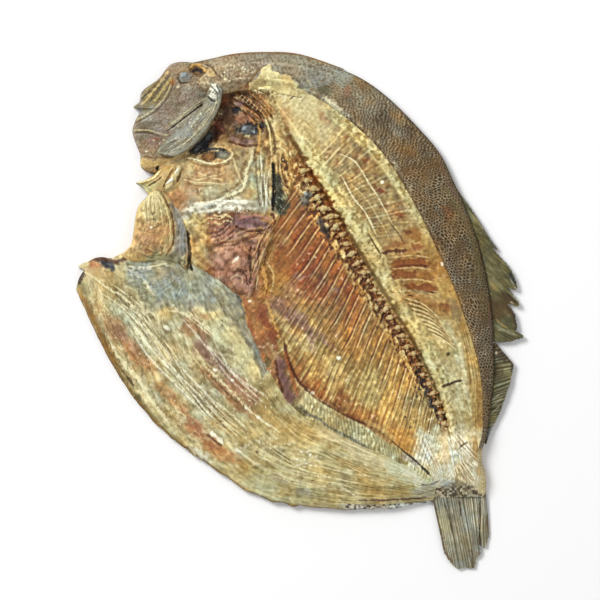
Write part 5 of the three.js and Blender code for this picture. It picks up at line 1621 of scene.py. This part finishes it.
EYE = (
    Spot(SEPIA, -50.8, 120.3, 5, 3.2, -15, 0.85, -1.4, 0.4),
    Stroke(GOLD, 1.3, (-55.2, 121.2, -52.3, 123.4, -49.2, 122, -47, 119.3), 0.85, 0.8),
    Stroke(INK, 1.5, (-54, 119.3, -51, 120.6, -48.7, 119.2), 0.9, -0.6),
    Spot(STRAW, -44.8, 119.3, 3.4, 2.4, -40, 0.6, 0.5),
    Stroke(SHADE, 0.8, (-47.8, 123.6, -43.8, 121.5, -41.5, 118), 0.6, -0.4),
)


@dataclass
class Dome(Form):
    """A low dome inside a closed rim."""

    merge: ClassVar[bool] = True
    rim: ClassVar[Rail] = HEAD_RIM
    middle: ClassVar[Point] = (-61, 100)
    columns: int = 60
    rows: int = 320
    top: float = 12.0
    edge: float = 5.0
    grain: float = 35.0

    def plan(self, over: Field, along: Field) -> Sheet:
        """Lays rings from the middle out to the rim."""
        rim = self.rim.at(along % 1.0)
        reach = over**0.8
        place = mix(np.array(self.middle), rim, reach[:, None])
        crown = np.sqrt(np.clip(1 - reach**2.2, 0, 1))
        height = mix(self.edge, self.top, crown)
        self.reach = reach
        c, s = math.cos(math.radians(self.grain)), math.sin(math.radians(self.grain))
        x, y = place[:, 0], place[:, 1]
        return Sheet(x.copy(), y.copy(), height, x * c + y * s, y * c - x * s)


@dataclass
class Head(Dome):
    """The head, with its gill cover, snout folds and the sockets of the eyes."""

    name: ClassVar[str] = "head"
    relief: ClassVar[Triple] = (1.0, 0.3, 0.3)
    columns: int = 110
    rows: int = 480
    top: float = 12.5
    edge: float = 4.0
    foot: float = 0.2
    grain: float = 50.0

    marks: ClassVar[Marks] = (
        Spot(OLIVE, -72.5, 108.5, 12, 5.5, 52, 0.7), Spot(ASH, -55.5, 98, 13, 4.5, 42, 0.45, 0.3),
        Stroke(STRAW, 1.5, (-65.5, 120.5, -70, 113.8, -77, 105.3), 0.55, 0.6, 1.2),
        # painted shadow of the fold above
        Stroke(BARK, 1, (-64.5, 118.8, -69.5, 111.6, -75.3, 104), 0.6, -0.5, 1.2),
        Stroke(KHAKI, 1.3, (-63.8, 117, -68.3, 110.3, -73.5, 103.5), 0.6, 0.5, 1.2),
        # painted shadow of the fold above
        Stroke(SEPIA, 0.9, (-63.2, 115.5, -67.3, 108.8, -72.3, 102.6), 0.5, -0.4, 1.2),
        Stroke(OLIVE, 1.4, (-67.3, 121.5, -72, 115.3, -77.8, 109), 0.7, 0.4),
        # painted shadow of the fold above
        Stroke(SEPIA, 0.9, (-66.6, 120.3, -71, 114.3, -77.2, 107.5), 0.6, -0.4, 1.2),
        Stroke(STRAW, 1, (-72, 111.3, -75.5, 106.3, -80, 102.6), 0.7, 0.4),
        # painted shadow of the fold above
        Stroke(SHADE, 0.8, (-73, 110.5, -77, 108, -79.3, 105.5), 0.6, -0.4),
        Stroke(LINEN, 0.6, (-63.6, 116, -66.4, 108.5, -71.5, 101.7, -77, 98, -82.3, 95.2), 0.6, 0.4, 0.8),
        # painted shadow under the pale line above
        Stroke(BARK, 0.8, (-62.6, 114.8, -65.3, 107.5, -70.7, 100.5, -76.6, 96.8, -82, 94), 0.6, -0.4),
        Spot(SLATE, -57.6, 116.6, 3.4, 2.6, 25, 0.75, 0.7, 0.4),
        Spot(BLUE, -58.4, 117.6, 1.7, 1.1, 20, 0.8, 0.3),
        Stroke(SHADE, 0.8, (-61.3, 116.5, -59.3, 113.8, -55.5, 114), 0.6, -0.5),
        Spot(AMBER, -63.2, 114.2, 1.8, 2.2, 20, 0.75), Spot(RUST, -63.6, 113.2, 1, 1, 0, 0.6),
        # pale spot in the lower eye: painted highlight
        Spot(PALE, -60.8, 112, 1.3, 0.9, 50, 0.7, 0.2), *EYE,
        Stroke(LINEN, 0.6, (-83.5, 90.3, -76, 90.2, -69.5, 88.3, -65.5, 87.6), 0.75, 0.4),
        # painted shadow of the fold above
        Stroke(BARK, 0.7, (-82.5, 89, -76, 88.8, -69.5, 86.9), 0.6, -0.4),
        Stroke(LINEN, 0.6, (-68.5, 90, -60, 96.3, -52, 102.8, -45.2, 107.2), 0.5, 0.4, 0.8),
        # painted shadow of the crease's pale ridge above
        Stroke(SHADE, 0.8, (-66.5, 89.3, -58.3, 95.7, -50.5, 101.7, -44.2, 105.8), 0.8, -0.6, 0.5),
        Spot(MAUVE, -72.5, 85.3, 5, 3.4, 10, 0.5), Spot(RUST, -71.5, 86, 1.8, 1, 0, 0.4),
        Stroke(STRAW, 4.2, (-79.8, 75, -74, 73.3, -65, 74.8, -56, 78), 0.85, 0.3, 0.6, 0.05),
        Stroke(OCHRE, 0.8, (-79, 77.3, -72, 76.3, -64, 76.8), 0.5, -0.3),
        Spot(WHITE, -76.8, 79.7, 0.8, 0.7, 0, 0.8, 0.2),
        Spot(INK, -71, 71.4, 1.4, 1.1, 20, 0.95, -0.9, 0.2), *flecks(PALE, -62, 84, 12, 6, 10, 0.5, 0.1),
        *flecks(ASH, -66, 100, 14, 12, 14, 0.45, 0.1),
    )

    def paint(self, sheet: Sheet, over: Field, along: Field) -> None:
        """Grey-brown, finely grained skin."""
        wash = sheet.wash
        x, y = sheet.x, sheet.y
        wash(1, DRAB)
        wash(rough(x / 7, y / 7) * 0.55, LILAC)
        wash(cloud(0.5, 0.8, x / 5 + 8, y / 5) * 0.35, MAUVE)
        wash(smooth(106, 118, y) * smooth(-66, -58, x) * 0.4, TAN)
        wash(smooth(88, 76, y) * 0.55, TAN)
        grain = rough((x + y) / 1.5, (x - y) / 0.8, 2)
        wash(smooth(0.6, 0.85, grain) * 0.3, ASH, 0.15)
        wash(smooth(0.42, 0.15, grain) * 0.35, BARK, -0.15)
        sheet.z += 1.0 * (rough(x / 6, y / 6) - 0.5) * smooth(1, 0.7, self.reach)
        # darker band round the rim, where the dome turns down: painted shade
        wash(smooth(0.95, 1.0, self.reach) * 0.4, BARK)
        sheet.mottle(6, 0.12, 0.1)


@dataclass
class GillPlate(Dome):
    """The leaf-shaped plate over the gill hollow, with a pale crumpled tip."""

    name: ClassVar[str] = "gill_plate"
    relief: ClassVar[Triple] = (1.0, 0.3, 0.3)
    rim: ClassVar[Rail] = PLATE_RIM
    middle: ClassVar[Point] = (-53, 91.5)
    columns: int = 60
    rows: int = 360
    top: float = 14.0
    edge: float = 11.4
    foot: float = 8.5
    grain: float = 48.0

    marks: ClassVar[Marks] = (
        *strands(PALE, 0.6, (-67, 81.5, -59, 87, -51, 95, -45, 103.5), 4, 2.2, 0.45, 0.3),
        # bark strands beside the pale ones above: painted shadows of those folds
        *strands(BARK, 0.5, (-66, 80.5, -58, 86, -50.5, 93.5, -45, 101), 4, 2.3, 0.35, -0.25),
        Stroke(ASH, 2, (-40, 108, -40.8, 102, -44.6, 95, -50, 87.7, -56.5, 81.5, -63, 78.3, -70, 79), 0.6,
            0.4, 0.8),
        Stroke(PALE, 0.8, (-41.5, 107, -42.5, 101.5, -46.3, 95, -51.5, 88.7, -58, 82.8), 0.6, 0.4),
        Spot(WHITE, -42.3, 111, 3.2, 2.2, 75, 0.85, 0.8), Spot(WHITE, -43.3, 107.3, 2, 1.6, 60, 0.8, 0.5),
        Stroke(SLATE, 0.7, (-44.6, 112.6, -42.8, 110.5, -41, 108.5), 0.8, -0.5),
        Stroke(SHADE, 0.6, (-41.5, 113, -40.8, 110.8, -39.8, 109.3), 0.7, -0.4),
        Stroke(SHADE, 0.8, (-45.8, 107, -44, 105, -42, 104.6), 0.85, -0.6),
        *flecks(WHITE, -54, 92, 12, 3, 12, 0.5, 0.2, 48),
    )

    def paint(self, sheet: Sheet, over: Field, along: Field) -> None:
        """Silver-grey skin with fine streaks along the leaf."""
        sheet.wash(1, GREY)
        streak = threads(sheet.along, sheet.across, 8, 1.2, 2)
        sheet.wash(streak * 0.5, ASH, 0.15)
        sheet.wash(cloud(0.5, 0.8, sheet.along / 6, sheet.across / 1.5) * 0.45, DRAB, -0.2)
        sheet.wash(cloud(0.5, 0.8, sheet.along / 4 + 9, sheet.across / 3) * 0.35, BLUE)
        sheet.mottle(4, 0.14, 0.08)


@dataclass
class Throat(Dome):
    """The bulge of the throat, with the groove beside it darkened by painted shade."""

    name: ClassVar[str] = "throat"
    rim: ClassVar[Rail] = THROAT_RIM
    middle: ClassVar[Point] = (-70.5, 40)
    columns: int = 80
    rows: int = 380
    top: float = 13.5
    edge: float = 4.5
    foot: float = 0.1
    grain: float = 80.0

    marks: ClassVar[Marks] = (
        Spot(LINEN, -73.5, 51, 8, 11, 0, 0.7, 0.3, 1), Spot(CREAM, -72, 57, 4, 5, 0, 0.6),
        Spot(SALMON, -74, 36, 9, 8, 0, 0.45, 0.3, 1.1), Spot(ROSE, -75, 34, 6, 5, 0, 0.2),
        Stroke(STRAW, 3, (-84.5, 28, -78, 25.5, -71, 24.5), 0.7, 0.3),
        Stroke(LILAC, 6.5, (-63, 55, -59.6, 46, -58.6, 37, -60, 29, -64, 23), 0.95, -0.9, 0.5, 0.05),
        Stroke(LICHEN, 4.5, (-76, 26, -70, 26.5, -64, 26, -57, 24), 0.8, -0.6, 0.8, 0.05),
        Stroke(BLUE, 1.4, (-60, 45, -58, 37, -58.5, 29), 0.5, 0.3),
        # sepia beside the linen fold below: painted shadow of that fold
        Stroke(SEPIA, 0.9, (-70, 61, -65, 51, -62.8, 42, -63.5, 33, -67.5, 27), 0.55, -0.6),
        Stroke(LINEN, 1, (-71, 60, -66.5, 51, -64.4, 42, -65, 34), 0.6, 0.6, 0.5),
        # dark line down the groove: painted shade
        Stroke(SHADE, 1.3, (-70.5, 63, -64.5, 57, -59, 49.5, -56.3, 40, -55.3, 30, -56, 21), 0.9, -1.2,
            0.5),
        *strands(PALE, 0.6, (-76.5, 58, -77.5, 50, -76.5, 42), 3, 2.4, 0.4, 0.3),
        *strands(DRAB, 0.6, (-74.5, 58, -74, 51, -73, 44), 3, 2.3, 0.4, -0.3),
        Stroke(PALE, 0.6, (-70.5, 57, -69, 49, -68, 41), 0.4, 0.3),
        *strands(TAN, 0.7, (-80, 44, -74, 41.5, -68, 43), 3, 2.2, 0.45, -0.3),
        *strands(LINEN, 0.7, (-81, 32, -76, 29, -70, 28.5, -66, 31), 3, 1.6, 0.5),
        # shade strands at the groove's lower end: painted shade
        *strands(SHADE, 0.5, (-60, 25.5, -57.5, 23, -56.3, 20.5), 3, 1.2, 0.6, -0.3),
        Spot(BARK, -73, 48.5, 1.2, 0.7, 60, 0.7, -0.2), Spot(BARK, -72.8, 46, 0.7, 0.5, 0, 0.7),
        Spot(BARK, -76, 45, 0.7, 0.5, 0, 0.5), Spot(WHITE, -74, 41.5, 0.8, 0.6, 0, 0.8, 0.2),
        Stroke(KHAKI, 1, (-77.5, 57, -81.5, 49, -83, 40, -84.5, 33), 0.6, 0.2),
    )

    def paint(self, sheet: Sheet, over: Field, along: Field) -> None:
        """Smooth tan skin with faint wrinkles."""
        x, y = sheet.x, sheet.y
        sheet.wash(1, TAN)
        sheet.wash(rough(x / 6, y / 6) * 0.5, STRAW)
        wrinkle = threads(sheet.along, sheet.across, 10, 2.0, 3)
        sheet.wash(wrinkle * 0.4, LINEN, 0.5)
        lumps = rough(x / 3, y / 3, 3)
        sheet.z += 0.7 * (lumps - 0.5) * smooth(1, 0.9, self.reach)
        # cream on the lump tops: painted highlight
        sheet.wash(smooth(0.6, 0.85, lumps) * 0.3, CREAM)
        sheet.mottle(5, 0.12, 0.12)
        sheet.fleck(0.15)


@dataclass
class Jaw(Dome):
    """The curled ridge of the jaw between the head and the throat."""

    name: ClassVar[str] = "jaw"
    rim: ClassVar[Rail] = JAW_RIM
    middle: ClassVar[Point] = (-67.5, 66)
    columns: int = 44
    rows: int = 260
    top: float = 10.2
    edge: float = 4.5
    foot: float = 1.5
    grain: float = 30.0

    marks: ClassVar[Marks] = (
        Spot(LINEN, -76, 62, 5.5, 3, 10, 0.85),
        Stroke(LICHEN, 1.6, (-80.8, 63.5, -77.5, 62, -74, 59.5), 0.6, -0.4),
        Stroke(CREAM, 1.1, (-81.5, 64.2, -77, 65, -72.5, 67, -69.5, 70.5), 0.9, 0.8, 0.4),
        Stroke(BARK, 0.8, (-76, 62.3, -72, 64.5, -69, 67), 0.6, -0.6),
        Stroke(CREAM, 2.2, (-66.8, 61, -63.5, 65.5, -60.5, 71, -59, 74), 0.75, 0.8, 0.5),
        # the two white strokes: painted highlights on the jaw's ridge
        Stroke(WHITE, 1.2, (-67.3, 63, -65.3, 64.8, -63.3, 66.3), 0.95, 0.6, 0.9),
        Stroke(WHITE, 0.8, (-62.3, 68.5, -60.6, 71.5), 0.9, 0.4),
        Stroke(OCHRE, 1, (-68.3, 61.8, -66, 66, -63, 71.5), 0.6, -0.7),
        Stroke(SEPIA, 1.2, (-61.5, 64, -59.5, 68.5, -58.5, 72), 0.6, -0.7),
        Spot(AMBER, -66, 72, 2, 1.5, 30, 0.4),
        Stroke(TAN, 1.6, (-74.5, 59, -71, 60.5, -67.5, 60), 0.6, 0.4),
    )

    def paint(self, sheet: Sheet, over: Field, along: Field) -> None:
        """Tan skin, with painted shade round the rim."""
        sheet.wash(1, STRAW)
        sheet.wash(rough(sheet.x / 3, sheet.y / 3) * 0.6, TAN, 0.6)
        # darker band round the rim, where the dome turns down: painted shade
        sheet.wash(smooth(0.95, 1.0, self.reach) * 0.4, BARK)
        sheet.mottle(4, 0.14, 0.12)


@dataclass
class Nape(Form):
    """The skin over the nape, from the snout to the start of the back."""

    name: ClassVar[str] = "nape"
    columns: int = 80
    rows: int = 320
    foot: float = 1.2

    marks: ClassVar[Marks] = (
        *EYE, Stroke(AMBER, 1, (-40, 127, -28, 129, -17, 129.3, 0, 128.2, 20, 121.5), 0.6),
        *flecks(PALE, -31, 119, 9, 6, 26, 0.55), *flecks(SHADE, -34, 115, 8, 4, 8, 0.5, -0.2),
        Spot(BUTTER, -15, 117, 4, 3, -40, 0.6, 0.2, 1.2),
        Stroke(OCHRE, 1.2, (-28, 110, -24, 116, -19, 121.5), 0.5, -0.4, 1.2),
        Spot(BRICK, -27, 112, 2, 1.2, 0, 0.4),
    )
    flesh_line: ClassVar[Rail] = Rail(
        -31, 107, -26, 111.5, -21, 117, -17, 123, -12, 120, -4, 115.5, 3, 109, 10, 103,
    )

    def plan(self, over: Field, along: Field) -> Sheet:
        """Lays the skin from its lower edge up to the outline."""
        low, high = NAPE_LOW.at(along), NAPE_TOP.at(along)
        place = mix(low, high, over[:, None])
        wide = np.hypot(*(high - low).T)
        height = np.interp(over, [0, 0.3, 0.7, 1], [9.5, 11.5, 8.5, 3.2]) * mix(0.8, 1, smooth(0, 0.2, along))
        dip = smooth(-28, -14, place[:, 0]) * smooth(0.6, 0, over)
        height *= mix(1, 0.5, smooth(0.7, 1, along)) * mix(1, 0.55, dip)
        return Sheet(place[:, 0], place[:, 1], height, NAPE_TOP.length(along), wide * over)

    def paint(self, sheet: Sheet, over: Field, along: Field) -> None:
        """Grey-brown skin with fine scales, above cream flesh."""
        wash = sheet.wash
        x, y = sheet.x, sheet.y
        wash(1, GREY)
        wash(smooth(-20, -32, x) * 0.6, TAN)
        wash(rough(x / 6, y / 4) * 0.3, MAUVE)
        scales = rough(x / 0.9, y / 0.9, 2)
        wash(smooth(0.55, 0.8, scales) * 0.35, ASH, 0.15)
        wash(smooth(0.4, 0.2, scales) * 0.4, BARK, -0.12)
        line = self.flesh_line.at(np.linspace(0, 1, 60))
        deep = np.interp(x, line[:, 0], line[:, 1], left=0) - y + 3 * (rough(x / 3, y / 3) - 0.5)
        flesh = smooth(-0.6, 0.8, deep)
        wash(flesh, CREAM, 0.3)
        wash(flesh * rough(x / 4, y / 3) * 0.6, STRAW)
        wash(smooth(0.12, 0.0, over) * smooth(-14, -22, x) * 0.3, OCHRE)
        sheet.lay(SHOULDER_MARKS)
        sheet.mottle(7, 0.12, 0.1)


@dataclass
class Fin(Form):
    """A thin fin of fine rays."""

    foot_rail: ClassVar[Rail] = BACK_FOOT
    tip_rail: ClassVar[Rail] = BACK_TIP
    rays: int = 40
    tear: float = 0.04
    root: float = 1.7
    curl: float = 0.5
    blotch: float = 0.5
    thick: float = 0.5
    seed: int = 3
    base: Tone = MOSS
    web: Tone = OLIVE
    line: Tone = LICHEN
    gap: Tone = SHADE
    thin: float = 0.12

    def plan(self, over: Field, along: Field) -> Sheet:
        """Lays the fin from the skin out to its torn tips."""
        foot, tip = self.foot_rail.at(along), self.tip_rail.at(along)
        phase = (along + 0.35 / self.rays * np.sin(along * 31 + self.seed)) * self.rays
        index = np.floor(phase).astype(int)
        chance = np.random.default_rng(self.seed).random((200, 3))[index % 200]
        shift = phase % 1 - 0.5
        reach = 1 - self.tear * chance[:, 0] ** 1.5 - self.tear * 0.5 * (2 * np.abs(shift)) ** 2
        place = mix(foot, tip, (over * reach)[:, None])
        wide = np.hypot(*(tip - foot).T)
        self.phase, self.shift, self.chance = phase, shift, chance
        height = self.root + self.curl * over + 0.3 * np.sin(phase * 0.5) * over
        height += 0.22 * bell(shift, 0.22) * mix(0.4, 1, chance[:, 1])
        return Sheet(place[:, 0], place[:, 1], height, wide * over, self.foot_rail.length(along))

    def paint(self, sheet: Sheet, over: Field, along: Field) -> None:
        """Dark web, with rays that come and go along their length."""
        wash = sheet.wash
        x, y, phase, chance = sheet.x, sheet.y, self.phase, self.chance
        wash(1, self.base)
        wash(rough(x / 6 + 9, y / 6) * self.blotch, PINE)
        wash(cloud(0.35, 0.75, x / 5, y / 5) * 0.5, self.web)
        fade = cloud(0.3, 0.7, phase / 1.5, sheet.along / 5)
        wash(bell(self.shift, self.thin) * mix(0.3, 1, fade) * mix(0.4, 1, chance[:, 1]), self.line, 0.1)
        wash(bell(self.shift - 0.35, 0.14) * mix(0.5, 1, chance[:, 2]), self.gap)
        wash(cloud(0.6, 0.85, phase / 2 + 40, sheet.along / 7) * self.blotch, SHADE)
        # darker at the root, under the skin's edge: painted shade
        wash(smooth(0.1, 0.0, over) * 0.5, SHADE)
        sheet.mottle(6, 0.16, 0.1)

    def build(self, top: Any, under: Any) -> None:
        """Makes the fin and gives the thin sheet its thickness."""
        piece, over, along = grid_piece(self.name, self.columns, self.rows)
        sheet = self.plan(over, along)
        self.paint(sheet, over, along)
        sheet.lay(self.marks)
        shape_piece(piece, sheet)
        piece.data.materials.append(top)
        wall = piece.modifiers.new("thickness", "SOLIDIFY")
        wall.thickness = self.thick * MM
        wall.offset = -1
        bpy.ops.object.modifier_apply(modifier=wall.name)
        bpy.ops.object.mode_set(mode="EDIT")
        bpy.ops.mesh.select_all(action="SELECT")
        bpy.ops.mesh.normals_make_consistent(inside=False)
        bpy.ops.object.mode_set(mode="OBJECT")
        fit(piece)


@dataclass
class BackFin(Fin):
    """The long fin of the back."""

    name: ClassVar[str] = "back_fin"
    columns: int = 50
    rows: int = 760
    rays: int = 84

    marks: ClassVar[Marks] = (
        Spot(BARK, 100, 2, 6, 8, -50, 0.6), Spot(OLIVE, 99, 28, 9, 5, -50, 0.4),
        Spot(KHAKI, 97.5, 12, 3, 1.5, -45, 0.5),
        Stroke(ASH, 0.8, (99, -9, 104, -10.8, 109, -12.8), 0.7, 0.1),
        Stroke(KHAKI, 0.9, (98, -4, 101.5, -7, 104, -8.5), 0.7, 0.1),
        Stroke(INK, 1.6, (104.8, 19, 106.8, 16, 108.3, 12.5), 0.7),
        Stroke(ASH, 0.7, (105, 16.5, 106.8, 13.5, 108, 11), 0.7),
        Stroke(SHADE, 1.2, (103.5, 9, 106, 6.4, 109, 3.2)), Stroke(PALE, 0.6, (105, 4.6, 107.5, 3.6), 0.7),
        Stroke(SHADE, 1.6, (106.5, -1, 108.3, -5, 108.4, -10), 0.7),
        Stroke(SLATE, 1, (95, 36.5, 97, 33.5, 98.6, 31), 0.6),
    )


@dataclass
class RearFin(Fin):
    """The fin before the tail."""

    name: ClassVar[str] = "rear_fin"
    foot_rail: ClassVar[Rail] = REAR_FOOT
    tip_rail: ClassVar[Rail] = REAR_TIP
    columns: int = 40
    rows: int = 380
    rays: int = 30
    seed: int = 9

    marks: ClassVar[Marks] = (
        Spot(SHADE, 101, -22, 3, 4, 40, 0.6), Spot(PALE, 98.4, -21, 0.8, 0.7, 20, 0.7, 0.3),
        Spot(SHADE, 99.6, -31, 3, 4, 0, 0.4), Stroke(ASH, 0.5, (96, -48, 99, -45.5, 101.5, -43.5), 0.7),
        Stroke(ASH, 0.5, (96, -45, 99.5, -42, 102.5, -40), 0.7),
        Stroke(ASH, 0.5, (95.5, -52, 98, -49.5, 100, -47.5), 0.7),
        Stroke(SHADE, 1.4, (102.8, -21.7, 106.4, -26.6, 106, -31), 0.7),
        Spot(BLUE, 94.6, -61.5, 1.5, 4.5, -20, 0.7),
    )


@dataclass
class TailFin(Fin):
    """The grey fan of the tail."""

    name: ClassVar[str] = "tail_fin"
    foot_rail: ClassVar[Rail] = TAIL_FOOT
    tip_rail: ClassVar[Rail] = TAIL_TIP
    columns: int = 110
    rows: int = 300
    rays: int = 23
    tear: float = 0.015
    root: float = 2.0
    curl: float = -0.6
    blotch: float = 0.12
    seed: int = 14
    base: Tone = GREY
    web: Tone = ASH
    line: Tone = WHITE
    gap: Tone = MOSS
    thin: float = 0.16

    marks: ClassVar[Marks] = (
        Spot(BLUE, 80, -127, 3.5, 2.5, -50, 0.4), Spot(SLATE, 88, -114, 2, 6, 0, 0.25),
        Spot(PLUM, 89.5, -122, 1.5, 2.5, -20, 0.3), Spot(LINEN, 72, -105, 3, 9, 10, 0.4),
        Stroke(PALE, 0.8, (91, -86, 91.6, -96, 91, -106, 90.4, -114), 0.7),
        Stroke(SHADE, 0.7, (90.2, -94, 90.2, -104, 90, -113, 90.3, -118), 0.8, -0.2),
        Stroke(LILAC, 1.6, (92.6, -84, 93.2, -91, 93, -98), 0.7),
        Stroke(BARK, 0.8, (93.6, -90, 94.3, -96, 93.8, -104, 94, -110), 0.6),
        Stroke(BARK, 1, (66.6, -94, 69, -104, 71.5, -114, 73, -121, 78, -128), 0.6),
        Stroke(SHADE, 0.8, (72.5, -96, 74.8, -104, 76.5, -112), 0.6, -0.2),
        Stroke(SHADE, 1, (80, -95, 80.3, -99, 80.5, -103), 0.6, -0.2),
        Stroke(SHADE, 0.9, (86, -119, 86.4, -124, 86.8, -129), 0.6, -0.2),
    )


@dataclass
class Backbone:
    """The row of vertebrae, modelled once and copied along the spine."""

    radius: float = 1.5
    first: int = 7
    last: int = 34
    jag: float = 0.5

    def bead(self) -> Any:
        """Models one vertebra: a short body with a stub to each side and one ahead.

        Returns:
            The mesh object.
        """
        lobes = ((0, 0, 1, 1.15), (-1.25, 0.35, 0.62, 0.9), (1.2, -0.3, 0.58, 0.9), (0.25, 1.15, 0.5, 0.9))
        parts = []
        for across, ahead, size, high in lobes:
            bpy.ops.object.select_all(action="DESELECT")
            bpy.ops.mesh.primitive_uv_sphere_add(segments=20, ring_count=12, radius=self.radius * size * MM)
            part = bpy.context.object
            bpy.ops.object.mode_set(mode="EDIT")
            bpy.ops.mesh.select_all(action="SELECT")
            bpy.ops.transform.resize(value=(1.15, 0.85, 0.75 * high))
            bpy.ops.transform.translate(value=(across * self.radius * MM, ahead * self.radius * MM, 0))
            bpy.ops.object.mode_set(mode="OBJECT")
            parts.append(part)
        return self.joined(parts, "vertebra")

    def joined(self, parts: list[Any], name: str) -> Any:
        """Joins meshes into one piece and names it."""
        bpy.ops.object.select_all(action="DESELECT")
        for part in parts:
            part.select_set(True)
        bpy.context.view_layer.objects.active = parts[0]
        bpy.ops.object.join()
        piece = bpy.context.object
        piece.name = piece.data.name = name
        return piece

    def build(self, finish: Any) -> None:
        """Copies the vertebra along the spine, each one uneven in its own way, and joins the row."""
        pattern = self.bead()
        shape = np.array([v.co[:] for v in pattern.data.vertices]) / MM
        steps = np.linspace(0, 1, 2000)
        run = SPINE.length(steps)
        rng = np.random.default_rng(4)
        copies, crests = [], []
        for index in range(self.first, self.last + 1):
            share = float(np.interp((index + 0.5) * VERTEBRA_PITCH, run, steps))
            here, ahead = SPINE.at(np.array([share])), SPINE.at(np.array([min(share + 0.004, 1)]))
            turn = math.atan2(*(ahead - here)[0][::-1]) - math.pi / 2 + rng.normal(0, 0.2)
            size = rng.uniform(0.85, 1.15) * mix(1.2, 1.0, float(smooth(0.3, 0.6, np.array(share))))
            c, s = math.cos(turn), math.sin(turn)
            height = 7.7 * float(fullness(np.array([share]))[0]) + 0.6
            offset = rng.normal(0, 0.3, 2) + (0.4, 0.0)
            jag = WOBBLE.rough(shape[:, 0] / 0.7 + 9.7 * index, (shape[:, 1] + shape[:, 2]) / 0.7) - 0.5
            form = shape * size * (1 + self.jag * jag)[:, None]
            x = form[:, 0] * c - form[:, 1] * s + here[0, 0] + offset[0]
            y = form[:, 0] * s + form[:, 1] * c + here[0, 1] + offset[1]
            copy = pattern.copy()
            copy.data = pattern.data.copy()
            bpy.context.collection.objects.link(copy)
            copy.data.vertices.foreach_set("co", (np.stack([x, y, form[:, 2] + height], 1) * MM).ravel())
            copies.append(copy)
            crests.append(form[:, 2])
        bpy.data.objects.remove(pattern)
        piece = self.joined(copies, "vertebrae")
        place = np.empty(len(piece.data.vertices) * 3)
        piece.data.vertices.foreach_get("co", place)
        x, y, z = place.reshape(-1, 3).T / MM
        crest = np.concatenate(crests)
        sheet = Sheet(x, y, z, x, y)
        wash = sheet.wash
        wash(1, STRAW)
        wash(cloud(0.35, 0.7, x / 1.5, y / 1.5) * 0.8, CREAM)
        wash(smooth(60, 20, y) * 0.25, PINK)
        wash(cloud(0.5, 0.8, x / 1.8 + 7, y / 1.8) * 0.6, AMBER)
        # butter on the top of each vertebra: painted highlight
        wash(smooth(0.9, 1.3, crest) * 0.55, BUTTER)
        # rust down the sides: partly the flesh's own rust, partly painted shade
        wash(smooth(0.75, 0.1, crest + 0.7 * (rough(x / 0.9, y / 0.9, 2) - 0.5)) * 0.8, RUST)
        # umber at the base: painted shade between the vertebrae
        wash(smooth(0.1, -0.4, crest) * 0.7, UMBER)
        shape_piece(piece, sheet)
        piece.data.materials.append(finish)
        fit(piece)


@dataclass
class Studio:
    """The pale floor, the soft lights and the camera straight above."""

    view_height: float = 2.0
    frame_width: float = 0.3
    frame_middle: Point = (0.0, 0.0055)
    flesh_height: float = 0.006
    sensor: float = 36.0
    floor_size: float = 12.0
    paper: float = 0.95  # lightness of the floor
    sky: float = 0.45  # strength of the white surroundings

    def floor(self) -> None:
        """Lays a wide pale floor just under the fish."""
        bpy.ops.object.select_all(action="DESELECT")
        bpy.ops.mesh.primitive_plane_add(size=self.floor_size, location=(0, 0, -FLOOR_DROP))
        floor = bpy.context.object
        floor.name = "floor"
        shade = Shade("floor_paper")
        place = shade.node("ShaderNodeTexCoord", out="Object")
        shade.join(shade.surface.inputs["Roughness"], shade.noise(place, 3) * 0.1 + 0.85)
        shade.surface.inputs["Base Color"].default_value = (self.paper,) * 3 + (1,)
        shade.surface.inputs["Specular IOR Level"].default_value = 0.1
        floor.data.materials.append(shade.material)

    def lamp(self, name: str, place: Triple, size: float, power: float) -> None:
        """Adds a square soft light aimed at the fish.

        Args:
            name: the light's name.
            place: where it hangs, in metres.
            size: its side.
            power: its power in watts.
        """
        data = bpy.data.lights.new(name, "AREA")
        data.size, data.energy = size, power
        lamp = bpy.data.objects.new(name, data)
        bpy.context.collection.objects.link(lamp)
        lamp.location = place
        aim = -lamp.location
        lamp.rotation_mode = "QUATERNION"
        lamp.rotation_quaternion = aim.to_track_quat("-Z", "Y")

    def build(self) -> None:
        """Sets the whole studio."""
        self.floor()
        world = bpy.data.worlds.new("studio")
        world.use_nodes = True
        sky = world.node_tree.nodes["Background"].inputs
        sky["Color"].default_value = (1, 1, 1, 1)
        sky["Strength"].default_value = self.sky
        bpy.context.scene.world = world
        self.lamp("key", (-0.95, 0.85, 1.25), 0.7, 27)
        self.lamp("fill", (1.1, -0.6, 1.2), 1.2, 4)
        data = bpy.data.cameras.new("camera")
        data.sensor_width = self.sensor
        data.lens = self.sensor * (self.view_height - self.flesh_height) / self.frame_width
        camera = bpy.data.objects.new("camera", data)
        bpy.context.collection.objects.link(camera)
        camera.location = (*self.frame_middle, self.view_height)
        bpy.context.scene.camera = camera
        bpy.context.scene.view_settings.view_transform = "Standard"


def main() -> None:
    """Builds the fish form by form, logging each piece's faces, then the studio."""
    logging.basicConfig(level=logging.INFO, format="%(message)s")
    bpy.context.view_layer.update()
    flesh = Finish("flesh").make()
    skin = Finish("scaly_skin", fibre=(1.0, 1.0), pores=0.8, vary=0.7, depth=0.3).make()
    fin = Finish("fin_web", fibre=(4.0, 0.6), vary=0.7, rough=0.45).make()
    bone = Finish("bone", fibre=(1.2, 0.8), pores=0.7, vary=0.6, rough=0.4, gloss=0.35).make()
    under = BlindSide().make()
    for form in (RibPanel(), LadderPanel(), BellyFlap(), Neck(), Throat(), Jaw()):
        form.build(flesh, under)
    for form in (SkinMargin(), Head(), GillPlate(), Nape()):
        form.build(skin, under)
    for form in (BackFin(), RearFin(), TailFin()):
        form.build(fin, under)
    Backbone().build(bone)
    Studio().build()


if __name__ == "__main__":
    main()
